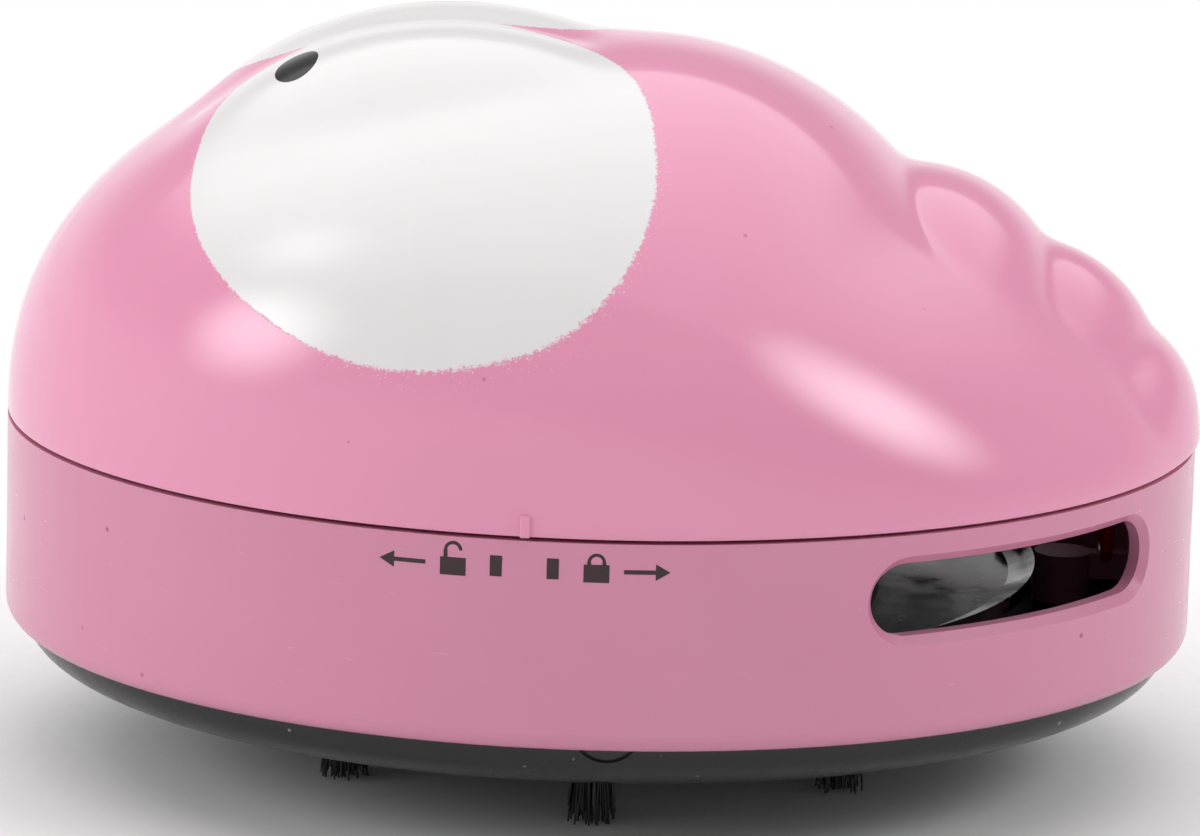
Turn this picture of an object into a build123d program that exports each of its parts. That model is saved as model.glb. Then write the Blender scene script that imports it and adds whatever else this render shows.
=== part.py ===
"""Desktop mini vacuum cleaner shaped like a round bug.

X runs from the head (-X) to the tail (+X), Z is up and the table is at Z = 0.
The origin is on the table, under the middle of the oval body.
Sizes are millimetres.
"""

import os
from math import cos, degrees, hypot, pi, radians, sin, sqrt

from build123d import *

os.makedirs("parts", exist_ok=True)

# ---------------------------------------------------------------- driving dimensions

# outer body
BODY_LENGTH = 110.0
BODY_WIDTH = 95.0
BRISTLE_REACH = 6.0  # bristle tips below the flat of the bottom plate
PLATE_DEPTH = 6.4  # height of the bottom plate's bowl
RING_HEIGHT = 19.3
SEAM_GAP = 0.3  # open seam between the ring and the turning cover
BACK_HEIGHT = 35.6  # top of the back above the seam
EYE_HEIGHT = 37.15  # top of the eyes above the seam
SHELL_WALL = 2.0
RING_FLANGE = 3.8  # thicker foot of the ring, measured in from its face
RING_FLANGE_HEIGHT = 2.0
RING_ROUND = 1.7  # rounded lower edge of the ring

# dome: how its outline swells, from the seam (0) to the top (1)
DOME_POWER = 2.25  # head and flanks: nearly upright at the seam
TAIL_POWER = 1.4  # tail: long and falling
DOME_STEPS = (0.0, 0.14, 0.28, 0.42, 0.56, 0.69, 0.8, 0.89, 0.955, 0.99)

# eyes: half length, radius and place of the middle
EYE_LENGTH = 28.6
EYE_ROUND = 24.3
EYE_X = -14.7
EYE_Y = 5.7

# tail lobes: radius, half width and place of the middle (X, Z above the seam)
LOBES = (
    (14.3, 21.5, 28.7, 9.8),
    (11.1, 18.5, 40.0, 6.0),
    (9.5, 14.2, 45.4, 1.2),
)

# fits
PART_GAP = 0.15  # between fixed neighbours
SEAT_GAP = 0.02  # between a pin, screw or bush and the hole that grips it
RUN_GAP = 0.06  # radial clearance of running fits
TURN_GAP = 0.9  # between the ring and what turns inside it

# levels worked out from the table up
Z_FLAT = BRISTLE_REACH
Z_RING = Z_FLAT + PLATE_DEPTH
Z_RING_TOP = Z_RING + RING_HEIGHT - SEAM_GAP
Z_SEAM = Z_RING + RING_HEIGHT

HALF_LENGTH = BODY_LENGTH / 2
HALF_WIDTH = BODY_WIDTH / 2
INNER_WIDTH = HALF_WIDTH - SHELL_WALL

# bottom plate
PLATE_REVEAL = 1.8  # step back of the bowl's rim from the ring's face
PLATE_WALL = 1.8
PLATE_CURVE = 18.0  # width of the bowl's curved margin
PLATE_LIP = 1.9  # locating lip that stands inside the ring
PLATE_LIP_WALL = 1.4
INLET_RADIUS = 7.5
CHIMNEY_WALL = 1.5
CHIMNEY_TOP = 5.0  # above the flat of the plate
NOTCH_WIDTH = 5.0  # thumb notch in the plate's rim
NOTCH_HEIGHT = 1.3
NOTCH_DEPTH = 0.9
NOTCH_PLACE = 1.2

# bristle tufts: X and Y of each tuft of one quarter
TUFT_RADIUS = 1.7
TUFT_SPREAD = 0.35  # flare of the free end
TUFT_HOLE_DEPTH = 2.2
TUFT_FRONT = 25.5
TUFT_CORNER = (22.8, 13.0)
TUFT_SIDE = (18.9, 6.6)
TUFT_BOSS_WALL = 1.4
TUFT_BOSS_TOP = 0.8

# exhaust slots in the ring
SLOT_HEIGHT = 6.6
SLOT_TOP_MARGIN = 3.0  # below the seam
SLOT_MIDDLE = (HALF_LENGTH - 16.3, HALF_WIDTH - 13.7)
SLOT_LENGTH = 33.0
SLOT_EDGE = 0.8

# base screws
BASE_SCREW = (HALF_LENGTH - 11.0, 12.0)
BASE_BOSS_RADIUS = 2.7
BASE_BOSS_HEIGHT = 4.6
BASE_SCREW_RADIUS = 1.1
BASE_HEAD_RADIUS = 2.0
BASE_HEAD_SEAT = 2.9  # above the flat of the plate
BASE_HEAD_DEPTH = 1.5
BASE_WEB = 2.0
SCREW_BITE = 4.0  # thread length in a boss
CROSS_WIDTH = 0.5  # arms of the cross cut in a screw head
CROSS_DEPTH = 0.8

# dust tray
TRAY_BORE = 26.9
TRAY_WALL = 1.4
TRAY_FLANGE = HALF_WIDTH - 9.3
TRAY_LIP = HALF_WIDTH - 6.9
TRAY_TOP = 12.4  # flange above the flat of the plate
TRAY_LIP_RISE = 1.0
TRAY_FLOOR = 1.0
TAB_WIDTH = 3.2
TAB_RISE = 1.2
TAB_ANGLE = 14.5

# bayonet between the ring and the cover
LUG_RADIUS = HALF_WIDTH - 3.2
LUG_WIDTH = 3.0
LUG_HEIGHT = 1.2
LUG_REACH = 1.6
LUG_ARM = 1.6
LUG_SPREAD = 13.0  # angle of a lug from the short axis
CATCH_INNER = HALF_WIDTH - 4.3
CATCH_HEIGHT = 1.4
CATCH_WIDTH = 3.4
CATCH_BELOW_RIM = 2.4
LUG_SIDE_GAP = 0.3  # between a lug and its catch before it is turned closed

# chassis
CHASSIS_THICK = 1.7
CHASSIS_RIM = 2.0
CHASSIS_RIM_WALL = 1.4
RIM_GAP = 0.9  # between the rim and the dome's wall, which leans in
CHASSIS_BOSS = (HALF_LENGTH - 18.5, HALF_WIDTH - 23.5)
DOME_BOSS_RADIUS = 2.8
CHASSIS_SCREW_RADIUS = 1.1
CHASSIS_HEAD_RADIUS = 2.1
CHASSIS_HEAD_HEIGHT = 1.0

# fan
IMPELLER_RADIUS = 22.0
IMPELLER_DISC = 1.2
BLADE_HEIGHT = 6.2
BLADE_THICK = 0.9
BLADE_COUNT = 9
HUB_RADIUS = 3.6
FAN_GAP = 0.9  # axial clearance over and under the impeller
SHROUD_RADIUS = 26.2
SHROUD_THICK = 1.2
EYE_RADIUS = 10.0  # air inlet of the shroud
SKIRT_RADIUS = 24.0
SKIRT_WALL = 1.2
SKIRT_HEIGHT = 2.6
PILLAR_RADIUS = 1.3
PILLAR_CIRCLE = 24.4
PILLAR_PIN = 0.7

# filter
FILTER_WALL = 1.6
FILTER_SPOKE = 0.8
FILTER_SPOKE_WIDTH = 1.6
FILTER_CLOTH = 0.6
FILTER_LEDGE = 1.4

# motor
MOTOR_RADIUS = 10.2
MOTOR_FLAT = 7.7  # half the distance across the flats
MOTOR_LENGTH = 20.0
MOTOR_WALL = 0.8
MOTOR_NECK_RADIUS = 3.0
MOTOR_NECK = 1.5
SHAFT_RADIUS = 1.0
BUSH_WALL = 1.1
MAGNET_THICK = 1.8
ROTOR_RADIUS = 6.6
ROTOR_LENGTH = 9.0
CAP_LENGTH = 3.0
SOCKET_WALL = 1.5
SOCKET_HEIGHT = 9.0
CLAMP_THICK = 1.2
CLAMP_WIDTH = 9.0
CLAMP_POST = 14.0
POST_RADIUS = 2.4
CLAMP_SCREW_RADIUS = 0.9
CLAMP_HEAD_RADIUS = 1.8
CLAMP_HEAD_HEIGHT = 1.0

# batteries
CELL_RADIUS = 7.1
CELL_LENGTH = 49.0
CELL_NUB_RADIUS = 2.7
CELL_NUB = 1.4
CELL_PLACE = 20.6
CELL_GAP = 0.3
CRADLE_WALL = 1.2
CRADLE_RISE = 5.0
CONTACT_THICK = 0.4
CONTACT_WIDTH = 9.0
CONTACT_HEIGHT = 10.0
SPRING_LENGTH = 3.0
SPRING_WIRE = 0.35
SPRING_RADIUS = 2.6
SPRING_TURNS = 3

# switch
SWITCH_LIFT = 7.2  # middle of the switch above the seam
SWITCH_TRAVEL = 2.0
SWITCH_BODY = (8.6, 4.0, 4.4)
RECESS_SIZE = (16.0, 7.0)
RECESS_DEPTH = 1.3
RECESS_WALL = 1.9
KNOB_LENGTH = 4.6
KNOB_HEIGHT = 4.0
KNOB_STEM = (2.0, 1.6)
STEM_SLOT = (KNOB_STEM[0] + SWITCH_TRAVEL + 4 * PART_GAP, KNOB_STEM[1] + 4 * PART_GAP)

# leads
LEAD_RADIUS = 0.6
LOOP_X = HALF_LENGTH - 8.1
LOOP_Y = (-7.0, 1.0)  # holes where the red lead dips under the chassis

# cover marks
RIB_WIDTH = 0.9
RIB_HEIGHT = 2.0
RIB_STAND = 0.3
RIB_PLACE = -6.4


# ---------------------------------------------------------------- shared shapes


def four_places(spot):
    """The four mirrored places of one spot."""
    return [(x, y) for x in (-spot[0], spot[0]) for y in (-spot[1], spot[1])]


def oval_sketch(level, inset=0.0):
    """Face of the body's oval at a level, drawn in from the outer face by the inset."""
    with BuildSketch(Plane.XY.offset(level)) as sketch:
        Ellipse(HALF_LENGTH - inset, HALF_WIDTH - inset)
    return sketch.sketch


def super_reach(reach, height, level, power):
    """Half size left at a level of a dome that swells like a rounded box."""
    return reach * (1 - (level / height) ** power) ** (1 / power)


def spheroid(half_length, radius, middle, axis):
    """Egg shape with its long axis along X or Y."""
    along = Vector(*axis)
    plane = Plane(origin=middle, x_dir=along, z_dir=Vector(0, 0, 1).cross(along))
    with BuildPart() as egg:
        with BuildSketch(plane):
            Ellipse(half_length, radius)
            with Locations((0, -radius)):
                Rectangle(2 * half_length, 2 * radius, mode=Mode.SUBTRACT)
        revolve(axis=Axis(middle, along))
    return egg.part


def dome_solid(inset):
    """The cover's swelling form above the seam, drawn in by the inset."""
    back = BACK_HEIGHT - inset
    reach = HALF_LENGTH - inset
    width = HALF_WIDTH - inset
    with BuildPart() as dome:
        for step in DOME_STEPS:
            front = super_reach(reach, 1, step, DOME_POWER)
            tail = super_reach(reach, 1, step, TAIL_POWER)
            side = super_reach(width, 1, step, DOME_POWER)
            with BuildSketch(Plane.XY.offset(Z_SEAM + step * back)):
                with Locations(((tail - front) / 2, 0)):
                    Ellipse((front + tail) / 2, side)
        loft()
        for side in (-1, 1):
            middle = (EYE_X, side * EYE_Y, Z_SEAM + EYE_HEIGHT - EYE_ROUND)
            add(spheroid(EYE_LENGTH - inset, EYE_ROUND - inset, middle, (1, 0, 0)))
        for radius, half_width, lobe_x, lobe_z in LOBES:
            middle = (lobe_x, 0, Z_SEAM + lobe_z)
            add(spheroid(half_width - inset, radius - inset, middle, (0, 1, 0)))
        with BuildSketch(Plane.XY.offset(Z_SEAM)):
            Rectangle(2 * BODY_LENGTH, 2 * BODY_WIDTH)
        extrude(amount=-2 * EYE_ROUND, mode=Mode.SUBTRACT)
    return dome.part


# ---------------------------------------------------------------- levels

Z_CHASSIS_TOP = Z_SEAM - 0.1
Z_CHASSIS = Z_CHASSIS_TOP - CHASSIS_THICK
Z_FAN_TOP = Z_CHASSIS - FAN_GAP
Z_BLADES = Z_FAN_TOP - IMPELLER_DISC - BLADE_HEIGHT
Z_SHROUD_TOP = Z_BLADES - FAN_GAP
Z_SHROUD = Z_SHROUD_TOP - SHROUD_THICK
Z_SKIRT = Z_SHROUD - SKIRT_HEIGHT
Z_CLOTH = Z_SKIRT - 2 * PART_GAP - FILTER_CLOTH
Z_FILTER = Z_CLOTH - FILTER_SPOKE
Z_TRAY = Z_FLAT + TUFT_HOLE_DEPTH + TUFT_BOSS_TOP + PART_GAP
Z_TRAY_TOP = Z_FLAT + TRAY_TOP
Z_SLOT = Z_SEAM - SLOT_TOP_MARGIN - SLOT_HEIGHT / 2
Z_CATCH = Z_RING_TOP - CATCH_BELOW_RIM - CATCH_HEIGHT
Z_LUG = Z_CATCH - PART_GAP - LUG_HEIGHT
Z_MOTOR_TOP = Z_CHASSIS_TOP + MOTOR_LENGTH
Z_CAP_TOP = Z_MOTOR_TOP + CAP_LENGTH
Z_CELL = Z_CHASSIS_TOP + CELL_GAP + CELL_RADIUS
Z_SWITCH = Z_SEAM + SWITCH_LIFT

TUFTS = [(0, -TUFT_FRONT), (0, TUFT_FRONT)] + four_places(TUFT_CORNER) + four_places(TUFT_SIDE)
LUG_ANGLES = [side + spread for side in (90, 270) for spread in (-LUG_SPREAD, LUG_SPREAD)]
BAY_HALF = (CELL_LENGTH + CELL_NUB + SPRING_LENGTH) / 2 + PART_GAP


def on_polar(radius, angle, level):
    """Place at a radius and angle, with X pointing outward."""
    x = radius * cos(radians(angle))
    y = radius * sin(radians(angle))
    return Location((x, y, level), (0, 0, angle))


def slot_plane(side):
    """Plane of one exhaust slot, facing outward, on the +Y or -Y side."""
    x, y = SLOT_MIDDLE
    normal = Vector(x / HALF_LENGTH**2, side * y / HALF_WIDTH**2, 0)
    return Plane(origin=(x, side * y, Z_SLOT), x_dir=Vector(0, 0, 1).cross(normal), z_dir=normal)


def is_on_face(edge, inset):
    """True for an edge whose middle lies on the oval drawn in by the inset."""
    middle = edge.position_at(0.5)
    return abs(hypot(middle.X / (HALF_LENGTH - inset), middle.Y / (HALF_WIDTH - inset)) - 1) < 1e-3


# ---------------------------------------------------------------- base ring

with BuildPart() as base_ring:
    add(oval_sketch(Z_RING))
    extrude(amount=Z_RING_TOP - Z_RING)
    fillet(base_ring.edges().sort_by(Axis.Z)[0], RING_ROUND)
    add(oval_sketch(Z_RING, RING_FLANGE))
    extrude(amount=RING_HEIGHT, mode=Mode.SUBTRACT)
    add(oval_sketch(Z_RING + RING_FLANGE_HEIGHT, SHELL_WALL))
    extrude(amount=RING_HEIGHT, mode=Mode.SUBTRACT)
    # screw bosses, each tied to the wall by a web
    for x, y in four_places(BASE_SCREW):
        outward = 1 if x > 0 else -1
        with BuildSketch(Plane.XY.offset(Z_RING)):
            with Locations((x, y)):
                Circle(BASE_BOSS_RADIUS)
        extrude(amount=BASE_BOSS_HEIGHT)
        web_end = HALF_LENGTH * sqrt(1 - (y / HALF_WIDTH) ** 2) - SHELL_WALL / 2
        with BuildSketch(Plane.XY.offset(Z_RING + RING_FLANGE_HEIGHT + PART_GAP)):
            with Locations((outward * (web_end + abs(x)) / 2, y)):
                Rectangle(web_end - abs(x), BASE_WEB)
        extrude(amount=BASE_BOSS_HEIGHT - RING_FLANGE_HEIGHT - PART_GAP)
        with Locations((x, y, Z_RING + SCREW_BITE / 2)):
            Cylinder(BASE_SCREW_RADIUS + SEAT_GAP, SCREW_BITE, mode=Mode.SUBTRACT)
    # catches that hold the cover's lugs down when it is closed
    lug_half_angle = degrees((LUG_WIDTH / 2 + LUG_SIDE_GAP) / LUG_RADIUS)
    catch_half_angle = degrees(CATCH_WIDTH / 2 / LUG_RADIUS)
    catch_radius = (CATCH_INNER + INNER_WIDTH + 1) / 2
    for angle in LUG_ANGLES:
        catch_angle = angle + lug_half_angle + catch_half_angle
        with Locations(on_polar(catch_radius, catch_angle, Z_CATCH + CATCH_HEIGHT / 2)):
            Box(INNER_WIDTH + 1 - CATCH_INNER, CATCH_WIDTH, CATCH_HEIGHT)
    # exhaust slots with a small bevel outside
    for side in (-1, 1):
        with BuildSketch(slot_plane(side)):
            SlotOverall(SLOT_LENGTH, SLOT_HEIGHT)
        extrude(amount=SLOT_HEIGHT, both=True, mode=Mode.SUBTRACT)
        rim = [e for e in base_ring.edges(Select.LAST) if is_on_face(e, 0)]
        chamfer(rim, SLOT_EDGE)

# ---------------------------------------------------------------- bottom plate


def bowl(inset, depth):
    """Bowl-shaped block under the ring: ovals that draw in towards the flat."""
    with BuildPart() as block:
        for angle in (0, 18, 36, 54, 72, 90):
            level = Z_RING - depth * sin(radians(angle))
            drawn_in = inset + PLATE_CURVE * (1 - cos(radians(angle)))
            add(oval_sketch(level, drawn_in))
        loft()
    return block.part


with BuildPart() as bottom_plate:
    add(bowl(PLATE_REVEAL, PLATE_DEPTH))
    add(bowl(PLATE_REVEAL + PLATE_WALL, PLATE_DEPTH - PLATE_WALL), mode=Mode.SUBTRACT)
    # locating lip inside the ring's foot
    lip_inset = RING_FLANGE + PART_GAP
    with BuildSketch(Plane.XY.offset(Z_RING - PLATE_LIP)):
        Ellipse(HALF_LENGTH - lip_inset, HALF_WIDTH - lip_inset)
        Ellipse(
            HALF_LENGTH - lip_inset - PLATE_LIP_WALL,
            HALF_WIDTH - lip_inset - PLATE_LIP_WALL,
            mode=Mode.SUBTRACT,
        )
    extrude(amount=2 * PLATE_LIP)
    # bosses for the screws, the tufts and the suction inlet
    with BuildSketch(Plane.XY.offset(Z_FLAT + BASE_HEAD_SEAT)):
        with Locations(four_places(BASE_SCREW)):
            Circle(BASE_BOSS_RADIUS)
    extrude(amount=PLATE_DEPTH - BASE_HEAD_SEAT - PART_GAP)
    with BuildSketch(Plane.XY.offset(Z_FLAT)):
        with Locations(TUFTS):
            Circle(TUFT_RADIUS + TUFT_BOSS_WALL)
    extrude(amount=TUFT_HOLE_DEPTH + TUFT_BOSS_TOP)
    with BuildSketch(Plane.XY.offset(Z_FLAT)):
        Circle(INLET_RADIUS + CHIMNEY_WALL)
    extrude(amount=CHIMNEY_TOP)
    # holes
    with BuildSketch(Plane.XY.offset(Z_FLAT)):
        with Locations(TUFTS):
            Circle(TUFT_RADIUS + RUN_GAP)
    extrude(amount=TUFT_HOLE_DEPTH, mode=Mode.SUBTRACT)
    with BuildSketch(Plane.XY.offset(Z_FLAT)):
        Circle(INLET_RADIUS)
    extrude(amount=CHIMNEY_TOP, mode=Mode.SUBTRACT)
    with BuildSketch(Plane.XY.offset(Z_FLAT)):
        with Locations(four_places(BASE_SCREW)):
            Circle(BASE_HEAD_RADIUS + PART_GAP)
    extrude(amount=BASE_HEAD_SEAT, mode=Mode.SUBTRACT)
    with BuildSketch(Plane.XY.offset(Z_FLAT)):
        with Locations(four_places(BASE_SCREW)):
            Circle(BASE_SCREW_RADIUS + PART_GAP)
    extrude(amount=PLATE_DEPTH, mode=Mode.SUBTRACT)
    # thumb notch in the rim on the near side
    notch_radius = (NOTCH_WIDTH**2 / 4 + NOTCH_HEIGHT**2) / (2 * NOTCH_HEIGHT)
    notch_face = Plane(
        origin=(NOTCH_PLACE, -(HALF_WIDTH - PLATE_REVEAL - NOTCH_DEPTH), Z_RING - NOTCH_HEIGHT + notch_radius),
        x_dir=(1, 0, 0),
        z_dir=(0, -1, 0),
    )
    with BuildSketch(notch_face):
        Circle(notch_radius)
    extrude(amount=2 * NOTCH_DEPTH, mode=Mode.SUBTRACT)

with BuildPart() as brush_tufts:
    with Locations([(x, y, Z_FLAT / 2) for x, y in TUFTS]):
        Cone(TUFT_RADIUS + TUFT_SPREAD, TUFT_RADIUS, Z_FLAT)
    with Locations([(x, y, Z_FLAT + TUFT_HOLE_DEPTH / 2) for x, y in TUFTS]):
        Cylinder(TUFT_RADIUS, TUFT_HOLE_DEPTH)

with BuildPart() as base_screws:
    seat = Z_FLAT + BASE_HEAD_SEAT
    shank = PLATE_DEPTH - BASE_HEAD_SEAT + SCREW_BITE - PART_GAP
    with Locations([(x, y, seat - BASE_HEAD_DEPTH / 2) for x, y in four_places(BASE_SCREW)]):
        Cylinder(BASE_HEAD_RADIUS, BASE_HEAD_DEPTH)
    with Locations([(x, y, seat + shank / 2) for x, y in four_places(BASE_SCREW)]):
        Cylinder(BASE_SCREW_RADIUS, shank)
    with Locations([(x, y, seat - BASE_HEAD_DEPTH) for x, y in four_places(BASE_SCREW)]):
        Box(2 * BASE_SCREW_RADIUS, CROSS_WIDTH, CROSS_DEPTH, mode=Mode.SUBTRACT)
        Box(CROSS_WIDTH, 2 * BASE_SCREW_RADIUS, CROSS_DEPTH, mode=Mode.SUBTRACT)

# ---------------------------------------------------------------- dust tray and filter

with BuildPart() as dust_tray:
    hole = INLET_RADIUS + CHIMNEY_WALL + PART_GAP
    flange = Z_TRAY_TOP - TRAY_WALL
    with BuildSketch(Plane.XZ):
        with BuildLine():
            Polyline(
                (hole, Z_TRAY),
                (TRAY_BORE + TRAY_WALL, Z_TRAY),
                (TRAY_BORE + TRAY_WALL, flange),
                (TRAY_FLANGE, flange),
                (TRAY_LIP, flange + TRAY_LIP_RISE),
                (TRAY_LIP, Z_TRAY_TOP + TRAY_LIP_RISE),
                (TRAY_FLANGE, Z_TRAY_TOP),
                (TRAY_BORE, Z_TRAY_TOP),
                (TRAY_BORE, Z_TRAY + TRAY_FLOOR),
                (hole, Z_TRAY + TRAY_FLOOR),
                close=True,
            )
        make_face()
    revolve(axis=Axis.Z)
    tab_top = Z_TRAY_TOP + TRAY_LIP_RISE + TAB_RISE
    with Locations(on_polar(TRAY_LIP - TRAY_WALL / 2, TAB_ANGLE, tab_top - TAB_RISE)):
        Box(TRAY_WALL, TAB_WIDTH, 2 * TAB_RISE)

with BuildPart() as filter_frame:
    bore = SKIRT_RADIUS + RUN_GAP
    with BuildSketch(Plane.XY.offset(Z_FILTER)):
        Circle(bore + FILTER_WALL)
        Circle(bore, mode=Mode.SUBTRACT)
    extrude(amount=Z_SHROUD - 2 * PART_GAP - Z_FILTER)
    with BuildSketch(Plane.XY.offset(Z_FILTER)):
        Circle(bore + FILTER_WALL / 2)
        Circle(bore - FILTER_LEDGE, mode=Mode.SUBTRACT)
        with PolarLocations(0, 3, angular_range=180):
            Rectangle(2 * bore, FILTER_SPOKE_WIDTH)
    extrude(amount=FILTER_SPOKE)

with BuildPart() as filter_cloth:
    with Locations((0, 0, Z_CLOTH + FILTER_CLOTH / 2)):
        Cylinder(SKIRT_RADIUS - PART_GAP, FILTER_CLOTH)

# ---------------------------------------------------------------- dome

dome_skin = dome_solid(0.0)
dome_hollow = dome_solid(SHELL_WALL)
dome_middle = dome_solid(SHELL_WALL / 2)

with BuildPart() as boss_columns:
    with BuildSketch(Plane.XY.offset(Z_SEAM)):
        with Locations(four_places(CHASSIS_BOSS)):
            Circle(DOME_BOSS_RADIUS)
    extrude(amount=BACK_HEIGHT)
    add(dome_middle, mode=Mode.INTERSECT)

recess_floor = HALF_WIDTH - RECESS_DEPTH
with BuildPart() as recess_block:
    with BuildSketch(Plane.XZ.offset(-(recess_floor - RECESS_WALL))):
        with Locations((0, Z_SWITCH)):
            Rectangle(RECESS_SIZE[0] + 2 * RECESS_WALL, RECESS_SIZE[1] + 2 * RECESS_WALL)
    extrude(amount=-SHELL_WALL)
    add(dome_middle, mode=Mode.INTERSECT)

with BuildPart() as dome_shell:
    add(dome_skin)
    add(dome_hollow, mode=Mode.SUBTRACT)
    add(boss_columns.part)
    add(recess_block.part)
    # recess and window of the switch
    with BuildSketch(Plane.XZ.offset(-recess_floor)):
        with Locations((0, Z_SWITCH)):
            RectangleRounded(RECESS_SIZE[0], RECESS_SIZE[1], RECESS_SIZE[1] / 3)
    extrude(amount=-2 * RECESS_DEPTH, mode=Mode.SUBTRACT)
    with Locations((0, recess_floor - RECESS_WALL / 2, Z_SWITCH)):
        Box(STEM_SLOT[0], 2 * RECESS_WALL, STEM_SLOT[1], mode=Mode.SUBTRACT)
    # pilot holes of the chassis screws
    with Locations([(x, y, Z_SEAM + SCREW_BITE / 2) for x, y in four_places(CHASSIS_BOSS)]):
        Cylinder(CHASSIS_SCREW_RADIUS + SEAT_GAP, SCREW_BITE, mode=Mode.SUBTRACT)
    # index rib that points at the marks on the ring
    rib_face = HALF_WIDTH * sqrt(1 - (RIB_PLACE / HALF_LENGTH) ** 2)
    with Locations((RIB_PLACE, -rib_face + SHELL_WALL / 4, Z_SEAM + RIB_HEIGHT / 2)):
        Box(RIB_WIDTH, SHELL_WALL / 2 + 2 * RIB_STAND, RIB_HEIGHT)

# ---------------------------------------------------------------- chassis

with BuildPart() as chassis:
    add(oval_sketch(Z_CHASSIS, SHELL_WALL + TURN_GAP))
    extrude(amount=CHASSIS_THICK)
    with BuildSketch(Plane.XY.offset(Z_CHASSIS_TOP)):
        rim_inset = SHELL_WALL + RIM_GAP
        Ellipse(HALF_LENGTH - rim_inset, HALF_WIDTH - rim_inset)
        rim_inset += TURN_GAP + CHASSIS_RIM_WALL
        Ellipse(HALF_LENGTH - rim_inset, HALF_WIDTH - rim_inset, mode=Mode.SUBTRACT)
        with Locations(four_places(CHASSIS_BOSS)):
            Circle(DOME_BOSS_RADIUS + PART_GAP, mode=Mode.SUBTRACT)
        Circle(MOTOR_RADIUS + PART_GAP + SOCKET_WALL)
    extrude(amount=CHASSIS_RIM)
    # socket and clamp posts of the motor
    with BuildSketch(Plane.XY.offset(Z_CHASSIS_TOP)):
        Circle(MOTOR_RADIUS + PART_GAP + SOCKET_WALL)
    extrude(amount=SOCKET_HEIGHT)
    with BuildSketch(Plane.XY.offset(Z_CHASSIS_TOP)):
        with Locations((-CLAMP_POST, 0), (CLAMP_POST, 0)):
            Circle(POST_RADIUS)
    extrude(amount=Z_CAP_TOP - Z_CHASSIS_TOP)
    with BuildSketch(Plane.XY.offset(Z_CHASSIS_TOP)):
        Circle(MOTOR_RADIUS + PART_GAP)
    extrude(amount=CAP_LENGTH + MOTOR_LENGTH, mode=Mode.SUBTRACT)
    # battery cradles: side walls and end walls of each bay
    for side in (-1, 1):
        for edge in (-1, 1):
            wall_y = side * CELL_PLACE + edge * (CELL_RADIUS + CELL_GAP + CRADLE_WALL / 2)
            with Locations((0, wall_y, Z_CHASSIS_TOP + CRADLE_RISE / 2)):
                Box(CELL_LENGTH * 0.8, CRADLE_WALL, CRADLE_RISE)
            end_x = edge * (BAY_HALF + CONTACT_THICK + PART_GAP + CRADLE_WALL / 2)
            with Locations((end_x, side * CELL_PLACE, Z_CHASSIS_TOP + CONTACT_HEIGHT / 2)):
                Box(CRADLE_WALL, CONTACT_WIDTH + 2 * CRADLE_WALL, CONTACT_HEIGHT)
    # bayonet lugs on short arms
    for angle in LUG_ANGLES:
        arm_radius = LUG_RADIUS - LUG_REACH - LUG_ARM / 2
        with Locations(on_polar(arm_radius, angle, (Z_LUG + Z_CHASSIS_TOP) / 2)):
            Box(LUG_ARM, LUG_WIDTH, Z_CHASSIS_TOP - Z_LUG)
        with Locations(on_polar(LUG_RADIUS - LUG_REACH / 2 - LUG_ARM / 2, angle, Z_LUG + LUG_HEIGHT / 2)):
            Box(LUG_REACH + LUG_ARM, LUG_WIDTH, LUG_HEIGHT)
    # holes: motor neck, pillar pins, screws and the lead's loop
    with BuildSketch(Plane.XY.offset(Z_CHASSIS)):
        Circle(MOTOR_NECK_RADIUS + PART_GAP)
        with PolarLocations(PILLAR_CIRCLE, 3, start_angle=90):
            Circle(PILLAR_PIN + RUN_GAP)
        with Locations(four_places(CHASSIS_BOSS)):
            Circle(CHASSIS_SCREW_RADIUS + PART_GAP)
        with Locations([(LOOP_X, y) for y in LOOP_Y]):
            Circle(LEAD_RADIUS + 3 * PART_GAP)
    extrude(amount=CHASSIS_THICK, mode=Mode.SUBTRACT)
    with Locations([(x, 0, Z_CAP_TOP - SCREW_BITE / 2) for x in (-CLAMP_POST, CLAMP_POST)]):
        Cylinder(CLAMP_SCREW_RADIUS + SEAT_GAP, SCREW_BITE, mode=Mode.SUBTRACT)

with BuildPart() as chassis_screws:
    shank = CHASSIS_THICK + SCREW_BITE
    with Locations([(x, y, Z_CHASSIS - CHASSIS_HEAD_HEIGHT / 2) for x, y in four_places(CHASSIS_BOSS)]):
        Cylinder(CHASSIS_HEAD_RADIUS, CHASSIS_HEAD_HEIGHT)
    with Locations([(x, y, Z_CHASSIS + shank / 2) for x, y in four_places(CHASSIS_BOSS)]):
        Cylinder(CHASSIS_SCREW_RADIUS, shank)
    with Locations([(x, y, Z_CHASSIS - CHASSIS_HEAD_HEIGHT) for x, y in four_places(CHASSIS_BOSS)]):
        Box(2 * CHASSIS_SCREW_RADIUS, CROSS_WIDTH, CROSS_DEPTH, mode=Mode.SUBTRACT)
        Box(CROSS_WIDTH, 2 * CHASSIS_SCREW_RADIUS, CROSS_DEPTH, mode=Mode.SUBTRACT)

# ---------------------------------------------------------------- fan

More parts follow.
